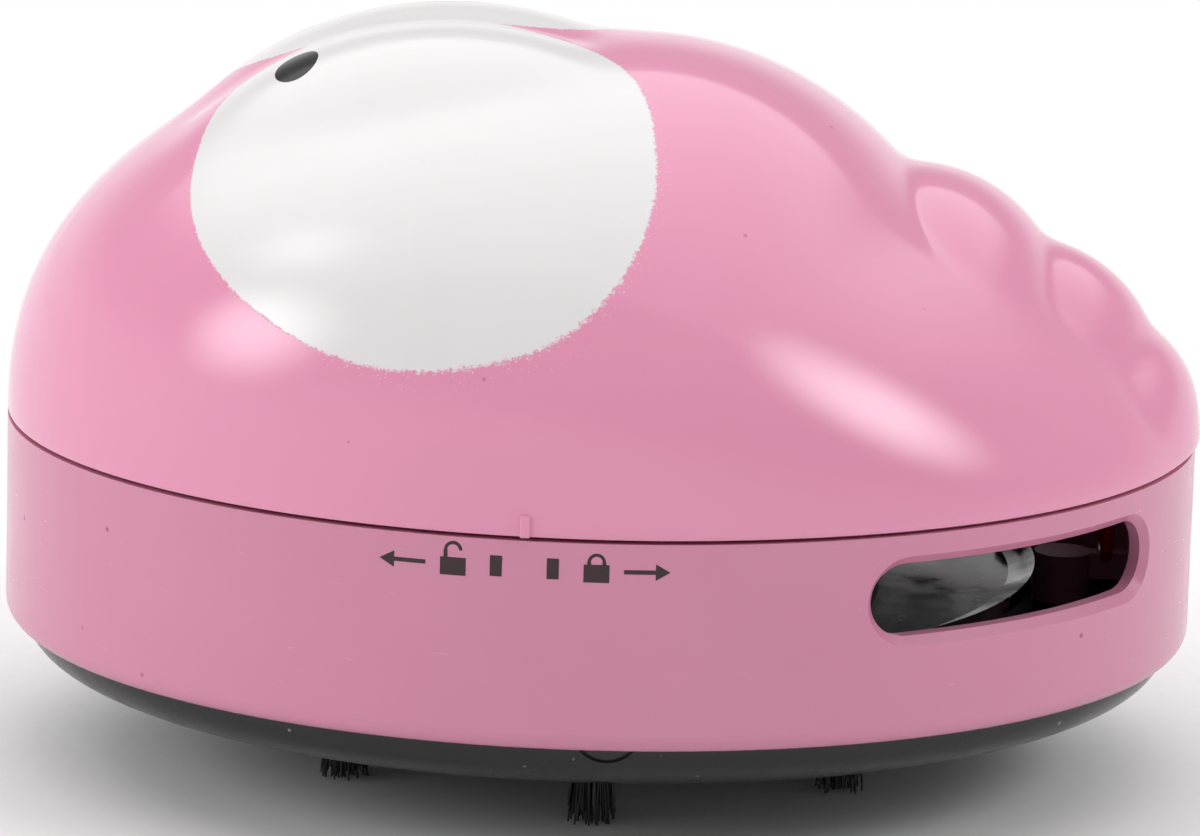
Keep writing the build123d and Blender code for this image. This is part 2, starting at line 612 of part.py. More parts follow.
with BuildPart() as fan_shroud:
    with BuildSketch(Plane.XY.offset(Z_SHROUD)):
        Circle(SHROUD_RADIUS)
        Circle(EYE_RADIUS, mode=Mode.SUBTRACT)
    extrude(amount=SHROUD_THICK)
    with BuildSketch(Plane.XY.offset(Z_SKIRT)):
        Circle(SKIRT_RADIUS)
        Circle(SKIRT_RADIUS - SKIRT_WALL, mode=Mode.SUBTRACT)
    extrude(amount=SKIRT_HEIGHT)
    with BuildSketch(Plane.XY.offset(Z_SHROUD_TOP)):
        with PolarLocations(PILLAR_CIRCLE, 3, start_angle=90):
            Circle(PILLAR_RADIUS)
    extrude(amount=Z_CHASSIS - Z_SHROUD_TOP)
    with BuildSketch(Plane.XY.offset(Z_CHASSIS)):
        with PolarLocations(PILLAR_CIRCLE, 3, start_angle=90):
            Circle(PILLAR_PIN)
    extrude(amount=CHASSIS_THICK - PART_GAP)

with BuildPart() as impeller:
    with BuildSketch(Plane.XY.offset(Z_FAN_TOP - IMPELLER_DISC)):
        Circle(IMPELLER_RADIUS)
    extrude(amount=IMPELLER_DISC)
    with BuildSketch(Plane.XY.offset(Z_BLADES)):
        Circle(HUB_RADIUS)
    extrude(amount=BLADE_HEIGHT)
    with BuildSketch(Plane.XY.offset(Z_BLADES)):
        for turn in range(BLADE_COUNT):
            with BuildLine(Plane.XY.rotated((0, 0, turn * 360 / BLADE_COUNT))) as blade:
                ThreePointArc(
                    (HUB_RADIUS * 2, 0),
                    (IMPELLER_RADIUS * 0.68, IMPELLER_RADIUS * 0.12),
                    (IMPELLER_RADIUS * 0.9, IMPELLER_RADIUS * 0.36),
                )
            trace(blade.line, line_width=BLADE_THICK)
    extrude(amount=BLADE_HEIGHT)
    with BuildSketch(Plane.XY.offset(Z_BLADES)):
        Circle(SHAFT_RADIUS + SEAT_GAP)
    extrude(amount=Z_FAN_TOP - Z_BLADES, mode=Mode.SUBTRACT)

# ---------------------------------------------------------------- motor


def motor_outline(level, inset=0.0):
    """Round outline with two flats, drawn in by the inset."""
    with BuildSketch(Plane.XY.offset(level)) as sketch:
        Circle(MOTOR_RADIUS - inset)
        Rectangle(2 * MOTOR_RADIUS, 2 * (MOTOR_FLAT - inset), mode=Mode.INTERSECT)
    return sketch.sketch


bush_radius = SHAFT_RADIUS + BUSH_WALL
Z_ROTOR = Z_CHASSIS_TOP + (MOTOR_LENGTH - ROTOR_LENGTH) / 2 - 1
Z_SHAFT_TOP = Z_CAP_TOP - MOTOR_WALL

with BuildPart() as motor_can:
    add(motor_outline(Z_CHASSIS_TOP))
    extrude(amount=MOTOR_LENGTH)
    add(motor_outline(Z_CHASSIS_TOP + MOTOR_WALL, MOTOR_WALL))
    extrude(amount=MOTOR_LENGTH, mode=Mode.SUBTRACT)
    with BuildSketch(Plane.XY.offset(Z_CHASSIS_TOP - MOTOR_NECK)):
        Circle(MOTOR_NECK_RADIUS)
    extrude(amount=MOTOR_NECK)
    with BuildSketch(Plane.XY.offset(Z_CHASSIS_TOP - MOTOR_NECK)):
        Circle(bush_radius + SEAT_GAP)
    extrude(amount=MOTOR_NECK + MOTOR_WALL, mode=Mode.SUBTRACT)

with BuildPart() as motor_end_cap:
    add(motor_outline(Z_MOTOR_TOP))
    extrude(amount=CAP_LENGTH)
    with BuildSketch(Plane.XY.offset(Z_MOTOR_TOP)):
        Circle(bush_radius + SEAT_GAP)
    extrude(amount=CAP_LENGTH - MOTOR_WALL, mode=Mode.SUBTRACT)

with BuildPart() as motor_bushes:
    for low, high in (
        (Z_CHASSIS_TOP - MOTOR_NECK, Z_CHASSIS_TOP + MOTOR_WALL),
        (Z_MOTOR_TOP, Z_CAP_TOP - MOTOR_WALL - PART_GAP),
    ):
        with BuildSketch(Plane.XY.offset(low)):
            Circle(bush_radius)
            Circle(SHAFT_RADIUS + RUN_GAP, mode=Mode.SUBTRACT)
        extrude(amount=high - low)

with BuildPart() as motor_magnets:
    magnet_outer = MOTOR_RADIUS - MOTOR_WALL - SEAT_GAP
    with BuildSketch(Plane.XY.offset(Z_ROTOR - 1)):
        Circle(magnet_outer)
        Circle(magnet_outer - MAGNET_THICK, mode=Mode.SUBTRACT)
        Rectangle(2 * MOTOR_RADIUS, 1.5 * MOTOR_FLAT, mode=Mode.INTERSECT)
    extrude(amount=ROTOR_LENGTH + 2)

with BuildPart() as motor_terminals:
    for side in (-1, 1):
        with Locations((0, side * (CLAMP_WIDTH / 2 + 1.4), Z_CAP_TOP + 1)):
            Box(2.4, CONTACT_THICK, 2.0)

with BuildPart() as motor_shaft:
    with BuildSketch(Plane.XY.offset(Z_BLADES)):
        Circle(SHAFT_RADIUS)
    extrude(amount=Z_SHAFT_TOP - 2 * PART_GAP - Z_BLADES)

with BuildPart() as motor_rotor:
    slot_depth = ROTOR_RADIUS * 0.58
    with BuildSketch(Plane.XY.offset(Z_ROTOR)):
        Circle(ROTOR_RADIUS)
        Circle(SHAFT_RADIUS + SEAT_GAP, mode=Mode.SUBTRACT)
        with PolarLocations(ROTOR_RADIUS - slot_depth / 2, 3):
            Rectangle(slot_depth, 2.6, mode=Mode.SUBTRACT)
    extrude(amount=ROTOR_LENGTH)
    with BuildSketch(Plane.XY.offset(Z_ROTOR + ROTOR_LENGTH)):
        Circle(bush_radius)
        Circle(SHAFT_RADIUS + SEAT_GAP, mode=Mode.SUBTRACT)
    extrude(amount=4)

with BuildPart() as rotor_coils:
    with BuildSketch(Plane.XY.offset(Z_ROTOR - 0.8)):
        with PolarLocations(ROTOR_RADIUS - slot_depth / 2, 3):
            Rectangle(slot_depth - 0.8, 2.5)
    extrude(amount=ROTOR_LENGTH + 1.6)

with BuildPart() as motor_clamp:
    with BuildSketch(Plane.XY.offset(Z_CAP_TOP)):
        SlotCenterToCenter(2 * CLAMP_POST, CLAMP_WIDTH)
        with Locations((-CLAMP_POST, 0), (CLAMP_POST, 0)):
            Circle(CLAMP_SCREW_RADIUS + PART_GAP, mode=Mode.SUBTRACT)
    extrude(amount=CLAMP_THICK)

with BuildPart() as clamp_screws:
    top = Z_CAP_TOP + CLAMP_THICK
    shank = CLAMP_THICK + SCREW_BITE
    with Locations([(x, 0, top + CLAMP_HEAD_HEIGHT / 2) for x in (-CLAMP_POST, CLAMP_POST)]):
        Cylinder(CLAMP_HEAD_RADIUS, CLAMP_HEAD_HEIGHT)
    with Locations([(x, 0, top - shank / 2) for x in (-CLAMP_POST, CLAMP_POST)]):
        Cylinder(CLAMP_SCREW_RADIUS, shank)

# ---------------------------------------------------------------- batteries

# each cell's plus end: the near cell points to the tail, the far cell to the head
CELLS = ((-1, 1), (1, -1))

with BuildPart() as battery_cells:
    for side, forward in CELLS:
        start = (-forward * (BAY_HALF - PART_GAP - SPRING_LENGTH), side * CELL_PLACE, Z_CELL)
        cell_plane = Plane(origin=start, x_dir=(0, 1, 0), z_dir=(forward, 0, 0))
        with BuildSketch(cell_plane):
            Circle(CELL_RADIUS)
        extrude(amount=CELL_LENGTH)
        with BuildSketch(cell_plane.offset(CELL_LENGTH)):
            Circle(CELL_NUB_RADIUS)
        extrude(amount=CELL_NUB)

with BuildPart() as battery_springs:
    for side, forward in CELLS:
        start = (-forward * (BAY_HALF - SPRING_WIRE - SEAT_GAP), side * CELL_PLACE, Z_CELL)
        height = SPRING_LENGTH - 2 * SPRING_WIRE - PART_GAP
        with BuildLine() as coil:
            Helix(height / SPRING_TURNS, height, SPRING_RADIUS, center=start, direction=(forward, 0, 0))
        with BuildSketch(Plane(origin=coil.line @ 0, z_dir=coil.line % 0)):
            Circle(SPRING_WIRE)
        sweep(path=coil.line, is_frenet=True)

contact_middle = BAY_HALF + CONTACT_THICK / 2
contact_level = Z_CHASSIS_TOP + CONTACT_HEIGHT / 2

with BuildPart() as battery_contacts:
    for side in (-1, 1):
        with Locations((contact_middle, side * CELL_PLACE, contact_level + 1)):
            Box(CONTACT_THICK, CONTACT_WIDTH, CONTACT_HEIGHT + 2)

with BuildPart() as battery_link:
    for side in (-1, 1):
        with Locations((-contact_middle, side * CELL_PLACE, contact_level)):
            Box(CONTACT_THICK, CONTACT_WIDTH, CONTACT_HEIGHT)
    with Locations((-contact_middle, 0, Z_CHASSIS_TOP + CONTACT_HEIGHT / 4)):
        Box(CONTACT_THICK, 2 * CELL_PLACE, CONTACT_HEIGHT / 2)

# ---------------------------------------------------------------- switch

switch_back = recess_floor - RECESS_WALL - PART_GAP
stem_reach = SWITCH_BODY[1] / 3
with BuildPart() as switch_body:
    with Locations((0, switch_back - SWITCH_BODY[1] / 2, Z_SWITCH)):
        Box(SWITCH_BODY[0], SWITCH_BODY[1], SWITCH_BODY[2])
    with Locations((0, switch_back, Z_SWITCH)):
        Box(STEM_SLOT[0], 2 * stem_reach, STEM_SLOT[1], mode=Mode.SUBTRACT)

with BuildPart() as switch_knob:
    knob_x = -SWITCH_TRAVEL / 2
    knob_thick = RECESS_DEPTH - PART_GAP
    with Locations((knob_x, recess_floor + PART_GAP + knob_thick / 2, Z_SWITCH)):
        Box(KNOB_LENGTH, knob_thick, KNOB_HEIGHT)
    knob_top = recess_floor + PART_GAP + knob_thick
    with Locations([(knob_x + step, knob_top, Z_SWITCH) for step in (-1.5, -0.5, 0.5, 1.5)]):
        Box(0.5, 0.6, 2 * KNOB_HEIGHT, mode=Mode.SUBTRACT)
    stem_end = switch_back - stem_reach + 2 * PART_GAP
    with Locations((knob_x, (stem_end + recess_floor + PART_GAP) / 2, Z_SWITCH)):
        Box(KNOB_STEM[0], recess_floor + PART_GAP - stem_end, KNOB_STEM[1])

# ---------------------------------------------------------------- leads


def lead(points):
    """Insulated lead along straight runs joined by arcs."""
    corners = [Vector(*point) for point in points]
    radii = []
    for before, corner, after in zip(corners, corners[1:], corners[2:]):
        turn = (corner - before).get_angle(after - corner)
        shorter = min((corner - before).length, (after - corner).length)
        radii.append(0.45 * shorter * cos(radians(turn / 2)) / sin(radians(turn / 2)))
    with BuildPart() as wire:
        with BuildLine() as route:
            FilletPolyline(*points, radius=radii)
        with BuildSketch(Plane(origin=route.line @ 0, z_dir=route.line % 0)):
            Circle(LEAD_RADIUS)
        sweep(path=route.line)
    length = sum(edge.length for edge in route.edges())
    print("lead volume", round(wire.part.volume, 1), "of", round(length * pi * LEAD_RADIUS**2, 1))
    return wire


terminal = CLAMP_WIDTH / 2 + 1.4 + CONTACT_THICK / 2 + LEAD_RADIUS
contact_face = BAY_HALF + CONTACT_THICK
solder = Z_CHASSIS_TOP + CONTACT_HEIGHT + 1.2
lead_level = Z_CHASSIS_TOP + CONTACT_HEIGHT
switch_rear = switch_back - SWITCH_BODY[1]

lead_red = lead(
    [
        (contact_face, -CELL_PLACE, solder),
        (contact_face + 6, -CELL_PLACE, solder),
        (LOOP_X - 4, LOOP_Y[0] - 6, lead_level),
        (LOOP_X, LOOP_Y[0], Z_CHASSIS_TOP + 4),
        (LOOP_X, LOOP_Y[0], Z_BLADES - 1),
        (LOOP_X, LOOP_Y[1], Z_BLADES - 1),
        (LOOP_X, LOOP_Y[1], Z_CHASSIS_TOP + 5),
        (LOOP_X - 8, LOOP_Y[1] + 5, lead_level),
        (31.4, 15, lead_level),
        (31.4, 28, lead_level),
        (22, HALF_WIDTH - 12.5, Z_CHASSIS_TOP + 9),
        (8, HALF_WIDTH - 13.5, Z_SWITCH),
        (2.6, HALF_WIDTH - 11.5, Z_SWITCH),
        (2.6, switch_rear, Z_SWITCH),
    ]
)
lead_switch = lead(
    [
        (-2.6, switch_rear, Z_SWITCH),
        (-2.6, HALF_WIDTH - 12.5, Z_SWITCH),
        (-5, 31, Z_SWITCH + 8),
        (-7, 25, Z_CELL + 13),
        (-4, 15, Z_CAP_TOP + 1),
        (0, terminal, Z_CAP_TOP + 1.2),
    ]
)
lead_black = lead(
    [
        (contact_face, CELL_PLACE, solder),
        (contact_face + 5, CELL_PLACE, solder),
        (contact_face + 3, 12, solder + 5),
        (23, -3, Z_CAP_TOP),
        (10, -12, Z_CAP_TOP + 3),
        (0, -terminal, Z_CAP_TOP + 1.2),
    ]
)

# ---------------------------------------------------------------- files

pieces = {
    "base_ring": base_ring,
    "bottom_plate": bottom_plate,
    "brush_tufts": brush_tufts,
    "base_screws": base_screws,
    "dust_tray": dust_tray,
    "filter_frame": filter_frame,
    "filter_cloth": filter_cloth,
    "dome_shell": dome_shell,
    "chassis": chassis,
    "chassis_screws": chassis_screws,
    "fan_shroud": fan_shroud,
    "impeller": impeller,
    "motor_can": motor_can,
    "motor_end_cap": motor_end_cap,
    "motor_bushes": motor_bushes,
    "motor_magnets": motor_magnets,
    "motor_terminals": motor_terminals,
    "motor_shaft": motor_shaft,
    "motor_rotor": motor_rotor,
    "rotor_coils": rotor_coils,
    "motor_clamp": motor_clamp,
    "clamp_screws": clamp_screws,
    "battery_cells": battery_cells,
    "battery_springs": battery_springs,
    "battery_contacts": battery_contacts,
    "battery_link": battery_link,
    "switch_body": switch_body,
    "switch_knob": switch_knob,
    "lead_red": lead_red,
    "lead_switch": lead_switch,
    "lead_black": lead_black,
}
for name, piece in pieces.items():
    piece.part.label = name
    export_step(piece.part, f"parts/{name}.step")
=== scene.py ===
# %% [markdown]
# # A desktop mini vacuum cleaner shaped like a round bug
# A palm-sized sweeper for crumbs. A pink domed cover with two raised eyes and a
# ridged tail sits on a slotted pink ring, and a black plate with bristle tufts
# closes it below. The inside (motor, fan, two cells, filter, dust tray) comes
# from the construction model and is dressed here with materials. What the
# construction model only blocks out, such as the skin of the dome, the bristles
# and the ink marks, is modelled here.

# %% Load the construction model
import math
import random

import bmesh
import bpy
import numpy as np
from mathutils import Matrix, Vector


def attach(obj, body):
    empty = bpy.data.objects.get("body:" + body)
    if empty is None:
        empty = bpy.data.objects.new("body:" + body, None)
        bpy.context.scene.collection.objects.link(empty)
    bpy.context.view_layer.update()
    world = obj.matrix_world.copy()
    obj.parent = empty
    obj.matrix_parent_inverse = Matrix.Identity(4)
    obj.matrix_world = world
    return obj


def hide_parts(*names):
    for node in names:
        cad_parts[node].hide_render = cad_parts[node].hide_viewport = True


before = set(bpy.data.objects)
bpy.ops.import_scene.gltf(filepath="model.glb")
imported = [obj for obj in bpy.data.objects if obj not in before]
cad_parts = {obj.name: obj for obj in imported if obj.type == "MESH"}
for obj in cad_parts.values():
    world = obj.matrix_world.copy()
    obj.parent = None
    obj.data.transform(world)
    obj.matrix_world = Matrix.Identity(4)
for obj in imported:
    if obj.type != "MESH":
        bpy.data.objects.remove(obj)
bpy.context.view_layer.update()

print("nodes:", len(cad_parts))

# %% [markdown]
# ## Small tools
# Sizes are written in millimetres, as on a drawing, and `mm` turns them into
# Blender's metres. Every operator works on what is selected, so `only` selects
# one piece and nothing else. `settle` moves a piece's place, turn and size into
# its mesh, so that its object sits at the origin as the construction nodes do.

# %% Small tools
mm = 0.001


def only(*pieces):
    """Leaves object mode on, with these pieces and nothing else selected."""
    if bpy.context.mode != "OBJECT":
        bpy.ops.object.mode_set(mode="OBJECT")
    bpy.ops.object.select_all(action="DESELECT")
    for piece in pieces:
        piece.select_set(True)
    bpy.context.view_layer.objects.active = pieces[0] if pieces else None


def named(name):
    """Names the piece that the last operator made."""
    piece = bpy.context.active_object
    piece.name = name
    piece.data.name = name
    return piece


def settle(piece):
    """Moves a piece's place, turn and size into its mesh."""
    only(piece)
    bpy.ops.object.transform_apply(location=True, rotation=True, scale=True)
    return piece


def apply_all(piece):
    """Applies every modifier of a piece, in order."""
    only(piece)
    for modifier in list(piece.modifiers):
        bpy.ops.object.modifier_apply(modifier=modifier.name)
    return piece


def joined(name, pieces):
    """One piece made of several."""
    only(*pieces)
    bpy.ops.object.join()
    return named(name)


def counted(piece):
    """Prints how many faces a piece has and returns it."""
    print(f"{piece.name}: {len(piece.data.polygons)} faces")
    return piece


# %% [markdown]
# ## Camera
# The object is seen from its side, a little from above, with a long lens. The
# camera hangs on a sphere round the middle of the seam between the ring and the
# cover. It is turned a little clockwise, as when a tripod head isn't level.

# %% Camera
seam_level = 31.7
seam_middle = Vector((0, 0, seam_level)) * mm
camera_distance = 700 * mm
camera_rise = math.radians(13.3)
camera_roll = math.radians(1.63)
focal_pixels = 7547
picture_width = 1200
seam_in_picture = (2, 3)  # pixels right of and above the middle of the picture

look = Vector((0, math.cos(camera_rise), -math.sin(camera_rise)))
level_right = Vector((1, 0, 0))
level_up = level_right.cross(look)
right = level_right * math.cos(camera_roll) + level_up * math.sin(camera_roll)
up = level_up * math.cos(camera_roll) - level_right * math.sin(camera_roll)
pixel = camera_distance / focal_pixels
camera_place = (
    seam_middle
    - look * camera_distance
    - right * seam_in_picture[0] * pixel
    - up * seam_in_picture[1] * pixel
)
bpy.ops.object.camera_add(location=camera_place)
camera = bpy.context.active_object
camera.name = "camera"
camera.rotation_euler = Matrix((right, up, -look)).transposed().to_euler()
camera.data.sensor_width = 36
camera.data.lens = focal_pixels / picture_width * camera.data.sensor_width
camera.data.clip_start = 10 * mm
camera.data.clip_end = 100
bpy.context.scene.camera = camera
bpy.context.scene.view_settings.view_transform = "Standard"
print("lens:", round(camera.data.lens, 1), "mm")

# %% [markdown]
# ## Materials: the shared tools
# Colours are written as the hex values a colour picker shows. Blender counts
# light, so one function turns hex into linear light. A second function adds a
# node with its settings and what is plugged into it. `surface` starts a material
# with a Principled shader, and numbers that are the same all over are set on the
# shader itself.

# %% Colour and nodes


def tint(code):
    """A hex colour as linear light, with full alpha."""
    channels = [int(code[i : i + 2], 16) / 255 for i in (1, 3, 5)]
    linear = [c / 12.92 if c <= 0.04045 else ((c + 0.055) / 1.055) ** 2.4 for c in channels]
    return (*linear, 1.0)


def add(tree, kind, plugs=None, **settings):
    """Adds a node. Plugs give a socket a value, or another node's output."""
    node = tree.nodes.new(kind)
    for setting, value in settings.items():
        setattr(node, setting, value)
    for socket, value in (plugs or {}).items():
        if isinstance(value, bpy.types.NodeSocket):
            tree.links.new(value, node.inputs[socket])
        else:
            node.inputs[socket].default_value = value
    return node


def surface(name, roughness, metallic=0.0, ior=1.5):
    """A new material: its tree, its shader and the coordinates of the object."""
    material = bpy.data.materials.new(name)
    material.use_nodes = True
    tree = material.node_tree
    shader = tree.nodes["Principled BSDF"]
    shader.inputs["Roughness"].default_value = roughness
    shader.inputs["Metallic"].default_value = metallic
    shader.inputs["IOR"].default_value = ior
    place = add(tree, "ShaderNodeTexCoord").outputs["Object"]
    return material, tree, shader, place


# %% [markdown]
# ## Materials: moulded plastic and metal in general
# Moulded plastic is never one flat colour. The pigment is stirred unevenly over
# some centimetres, the steel mould leaves a fine grain, and handling rubs the
# gloss a little. `moulded` mixes those three from noise at real sizes. Metal
# parts get `plated`, where the noise is drawn out along one axis, as rolling
# and drawing leave it.

# %% Moulded plastic and plated metal


def noise(tree, place, size_mm, stretch=(1, 1, 1), detail=3.0, roughness=0.5):
    """Noise whose blotches are about size_mm across, drawn out by the stretch."""
    scaled = add(tree, "ShaderNodeMapping", {"Vector": place, "Scale": [1 / s for s in stretch]})
    texture = add(
        tree,
        "ShaderNodeTexNoise",
        {
            "Vector": scaled.outputs[0],
            "Scale": 1 / (size_mm * mm),
            "Detail": detail,
            "Roughness": roughness,
        },
    )
    return texture.outputs["Fac"]


def between(tree, share, low, high, start=0.3, end=0.7):
    """A number that goes from low to high as the share goes from start to end."""
    ramp = add(
        tree,
        "ShaderNodeMapRange",
        {"Value": share, "From Min": start, "From Max": end, "To Min": low, "To Max": high},
    )
    return ramp.outputs[0]


def blended(tree, share, first, second):
    """Two colours mixed by a share."""
    mix = add(tree, "ShaderNodeMix", data_type="RGBA")
    for socket, value in ((0, share), (6, first), (7, second)):
        if isinstance(value, bpy.types.NodeSocket):
            tree.links.new(value, mix.inputs[socket])
        else:
            mix.inputs[socket].default_value = value
    return mix.outputs[2]


def specks(tree, place, spacing_mm, radius_mm):
    """Round specks, at most one in each cube of the spacing."""
    cells = add(
        tree, "ShaderNodeTexVoronoi", {"Vector": place, "Scale": 1 / (spacing_mm * mm)}, feature="F1"
    )
    limit = radius_mm / spacing_mm
    return between(tree, cells.outputs["Distance"], 1, 0, start=limit * 0.6, end=limit)


def bumped(tree, shader, height, depth_mm, strength=1.0, after=None):
    """Lets a height from 0 to 1 stand proud by depth_mm."""
    plugs = {"Height": height, "Distance": depth_mm * mm, "Strength": strength}
    if after is not None:
        plugs["Normal"] = after
    bump = add(tree, "ShaderNodeBump", plugs)
    tree.links.new(bump.outputs[0], shader.inputs["Normal"])
    return bump.outputs[0]


def moulded(name, light, dark, roughness, grain_mm, depth_mm, cloud_mm):
    """Injection-moulded plastic: clouded pigment, mould grain, rubbed gloss."""
    material, tree, shader, place = surface(name, roughness)
    clouds = noise(tree, place, cloud_mm, detail=4)
    tree.links.new(blended(tree, clouds, tint(dark), tint(light)), shader.inputs["Base Color"])
    rubbed = noise(tree, place, cloud_mm / 3, detail=5, roughness=0.6)
    gloss = between(tree, rubbed, roughness * 0.8, roughness * 1.25)
    tree.links.new(gloss, shader.inputs["Roughness"])
    bumped(tree, shader, noise(tree, place, grain_mm, detail=2), depth_mm)
    return material


def plated(name, light, dark, roughness, stretch, streak_mm, depth_mm):
    """Sheet or turned metal: streaks along the working direction, worn shine."""
    material, tree, shader, place = surface(name, roughness, metallic=1.0)
    streaks = noise(tree, place, streak_mm, stretch=stretch, detail=5, roughness=0.6)
    tree.links.new(blended(tree, streaks, tint(dark), tint(light)), shader.inputs["Base Color"])
    worn = noise(tree, place, 4, detail=3)
    shine = between(tree, worn, roughness * 0.75, roughness * 1.35)
    tree.links.new(shine, shader.inputs["Roughness"])
    bumped(tree, shader, streaks, depth_mm)
    return material


# %% [markdown]
# ## The floor, the studio and its lights
# The object stands on a pale sweep of paper. Close to it the paper shows its
# shadow, and further out the camera sees plain white. A large flat softbox hangs
# over the object, and its far edge shows as a line across the gloss of the back.
# Three smaller lamps with a hot middle stand at the left, high at the left and
# at the right.

# %% Floor
floor_size = 6
shadow_reach = (75, 150)  # mm from the middle, where the shadow begins and ends to fade
bpy.ops.mesh.primitive_plane_add(size=floor_size, location=(0, 0, 0))
floor = named("floor")
paper = bpy.data.materials.new("Matt_white_paper_sweep")
paper.use_nodes = True
tree = paper.node_tree
tree.nodes.clear()
place = add(tree, "ShaderNodeTexCoord").outputs["Object"]
fibres = noise(tree, place, 1.5, detail=4)
paper_colour = blended(tree, fibres, tint("#EDEDED"), tint("#F3F3F3"))
matt = add(tree, "ShaderNodeBsdfDiffuse", {"Color": paper_colour})
white = add(tree, "ShaderNodeEmission", {"Color": (1, 1, 1, 1), "Strength": 1.0})
reach = add(tree, "ShaderNodeVectorMath", {0: place}, operation="LENGTH").outputs["Value"]
far = add(
    tree,
    "ShaderNodeMapRange",
    {"Value": reach, "From Min": shadow_reach[0] * mm, "From Max": shadow_reach[1] * mm},
    interpolation_type="SMOOTHSTEP",
).outputs[0]
path = add(tree, "ShaderNodeLightPath")
sees = add(
    tree,
    "ShaderNodeMath",
    {0: path.outputs["Is Camera Ray"], 1: path.outputs["Is Glossy Ray"]},
    operation="MAXIMUM",
).outputs[0]
sees = add(
    tree, "ShaderNodeMath", {0: sees, 1: path.outputs["Is Transmission Ray"]}, operation="MAXIMUM"
).outputs[0]
share = add(tree, "ShaderNodeMath", {0: sees, 1: far}, operation="MULTIPLY").outputs[0]
mixed = add(tree, "ShaderNodeMixShader", {0: share, 1: matt.outputs[0], 2: white.outputs[0]})
add(tree, "ShaderNodeOutputMaterial", {"Surface": mixed.outputs[0]})
floor.data.materials.append(paper)

# %% World
backdrop_top = (4, 20)  # degrees of rise between which the backdrop fades into the ceiling
world = bpy.data.worlds.new("studio")
bpy.context.scene.world = world
world.use_nodes = True
tree = world.node_tree
tree.nodes.clear()
room_level = 0.5
seen_level = 1.0
backdrop_level = 0.9  # the paper behind the object, as its gloss reflects it
ceiling_level = 0.3
path = add(tree, "ShaderNodeLightPath")
toward = add(tree, "ShaderNodeTexCoord").outputs["Generated"]
rise = add(tree, "ShaderNodeSeparateXYZ", {0: toward}).outputs["Z"]
reflected = add(
    tree,
    "ShaderNodeMapRange",
    {
        "Value": rise,
        "From Min": math.sin(math.radians(backdrop_top[0])),
        "From Max": math.sin(math.radians(backdrop_top[1])),
        "To Min": backdrop_level,
        "To Max": ceiling_level,
    },
    interpolation_type="SMOOTHSTEP",
).outputs[0]
level = add(
    tree,
    "ShaderNodeMix",
    {0: path.outputs["Is Glossy Ray"], 2: room_level, 3: reflected},
    data_type="FLOAT",
).outputs[0]
level = add(
    tree,
    "ShaderNodeMix",
    {0: path.outputs["Is Camera Ray"], 2: level, 3: seen_level},
    data_type="FLOAT",
).outputs[0]
room = add(tree, "ShaderNodeBackground", {"Color": (1, 1, 1, 1), "Strength": level})
add(tree, "ShaderNodeOutputWorld", {"Surface": room.outputs[0]})

# %% Lamps


def softbox(name, place, target, width, depth, radiance, fall):
    """A flat lamp that looks at a target and shines radiance times paper white."""
    bpy.ops.object.light_add(type="AREA", location=Vector(place))
    lamp = bpy.context.active_object
    lamp.name = name
    lamp.data.shape = "RECTANGLE"
    lamp.data.size = width
    lamp.data.size_y = depth
    lamp.data.energy = radiance * math.pi * width * depth
    aim = Vector(target) - Vector(place)
    lamp.rotation_euler = aim.to_track_quat("-Z", "Y").to_euler()
    lamp.visible_camera = False
    lamp.data.use_nodes = True
    tree = lamp.data.node_tree
    spot = add(tree, "ShaderNodeNewGeometry").outputs["Parametric"]
    tree.links.new(fall(tree, spot), tree.nodes["Emission"].inputs["Strength"])
    return lamp


def from_middle(tree, spot):
    """A hot middle that fades towards the lamp's edge."""
    offset = add(tree, "ShaderNodeVectorMath", {0: spot, 1: (0.5, 0.5, 0)}, operation="DISTANCE")
    return add(
        tree,
        "ShaderNodeMapRange",
        {"Value": offset.outputs["Value"], "From Min": 0.05, "From Max": 0.5, "To Min": 1, "To Max": 0},
        interpolation_type="SMOOTHSTEP",
    ).outputs[0]


def from_far_edge(tree, spot):
    """Full at the far edge, fading towards the near edge and towards both sides."""
    across, along = add(tree, "ShaderNodeSeparateXYZ", {0: spot}).outputs[:2]
    deep = add(
        tree,
        "ShaderNodeMapRange",
        {"Value": along, "From Min": 0.0, "From Max": 0.6, "To Min": 0.4, "To Max": 1},
        interpolation_type="SMOOTHSTEP",
    ).outputs[0]
    from_centre = add(tree, "ShaderNodeMath", {0: across, 1: 0.5}, operation="SUBTRACT").outputs[0]
    from_centre = add(tree, "ShaderNodeMath", {0: from_centre}, operation="ABSOLUTE").outputs[0]
    wide = add(
        tree,
        "ShaderNodeMapRange",
        {"Value": from_centre, "From Min": 0.25, "From Max": 0.5, "To Min": 1, "To Max": 0},
        interpolation_type="SMOOTHSTEP",
    ).outputs[0]
    return add(tree, "ShaderNodeMath", {0: deep, 1: wide}, operation="MULTIPLY").outputs[0]


def seen_from(distance, azimuth, rise):
    """A place at a distance and in a direction from the middle of the seam."""
    a, r = math.radians(azimuth), math.radians(rise)
    direction = Vector((math.cos(a) * math.cos(r), math.sin(a) * math.cos(r), math.sin(r)))
    return seam_middle + distance * direction


softbox("overhead_softbox", (0, 0.45, 0.75), (0, 0.45, 0), 2.2, 1.55, 1.14, from_far_edge)
softbox("left_lamp", seen_from(1.0, -159, 24), seam_middle, 0.78, 0.78, 6.6, from_middle)
softbox("high_left_lamp", seen_from(1.0, 179, 52), seam_middle, 0.5, 0.5, 2.4, from_middle)
softbox("right_lamp", seen_from(1.0, -18, 36), seam_middle, 0.65, 0.62, 7.5, from_middle)

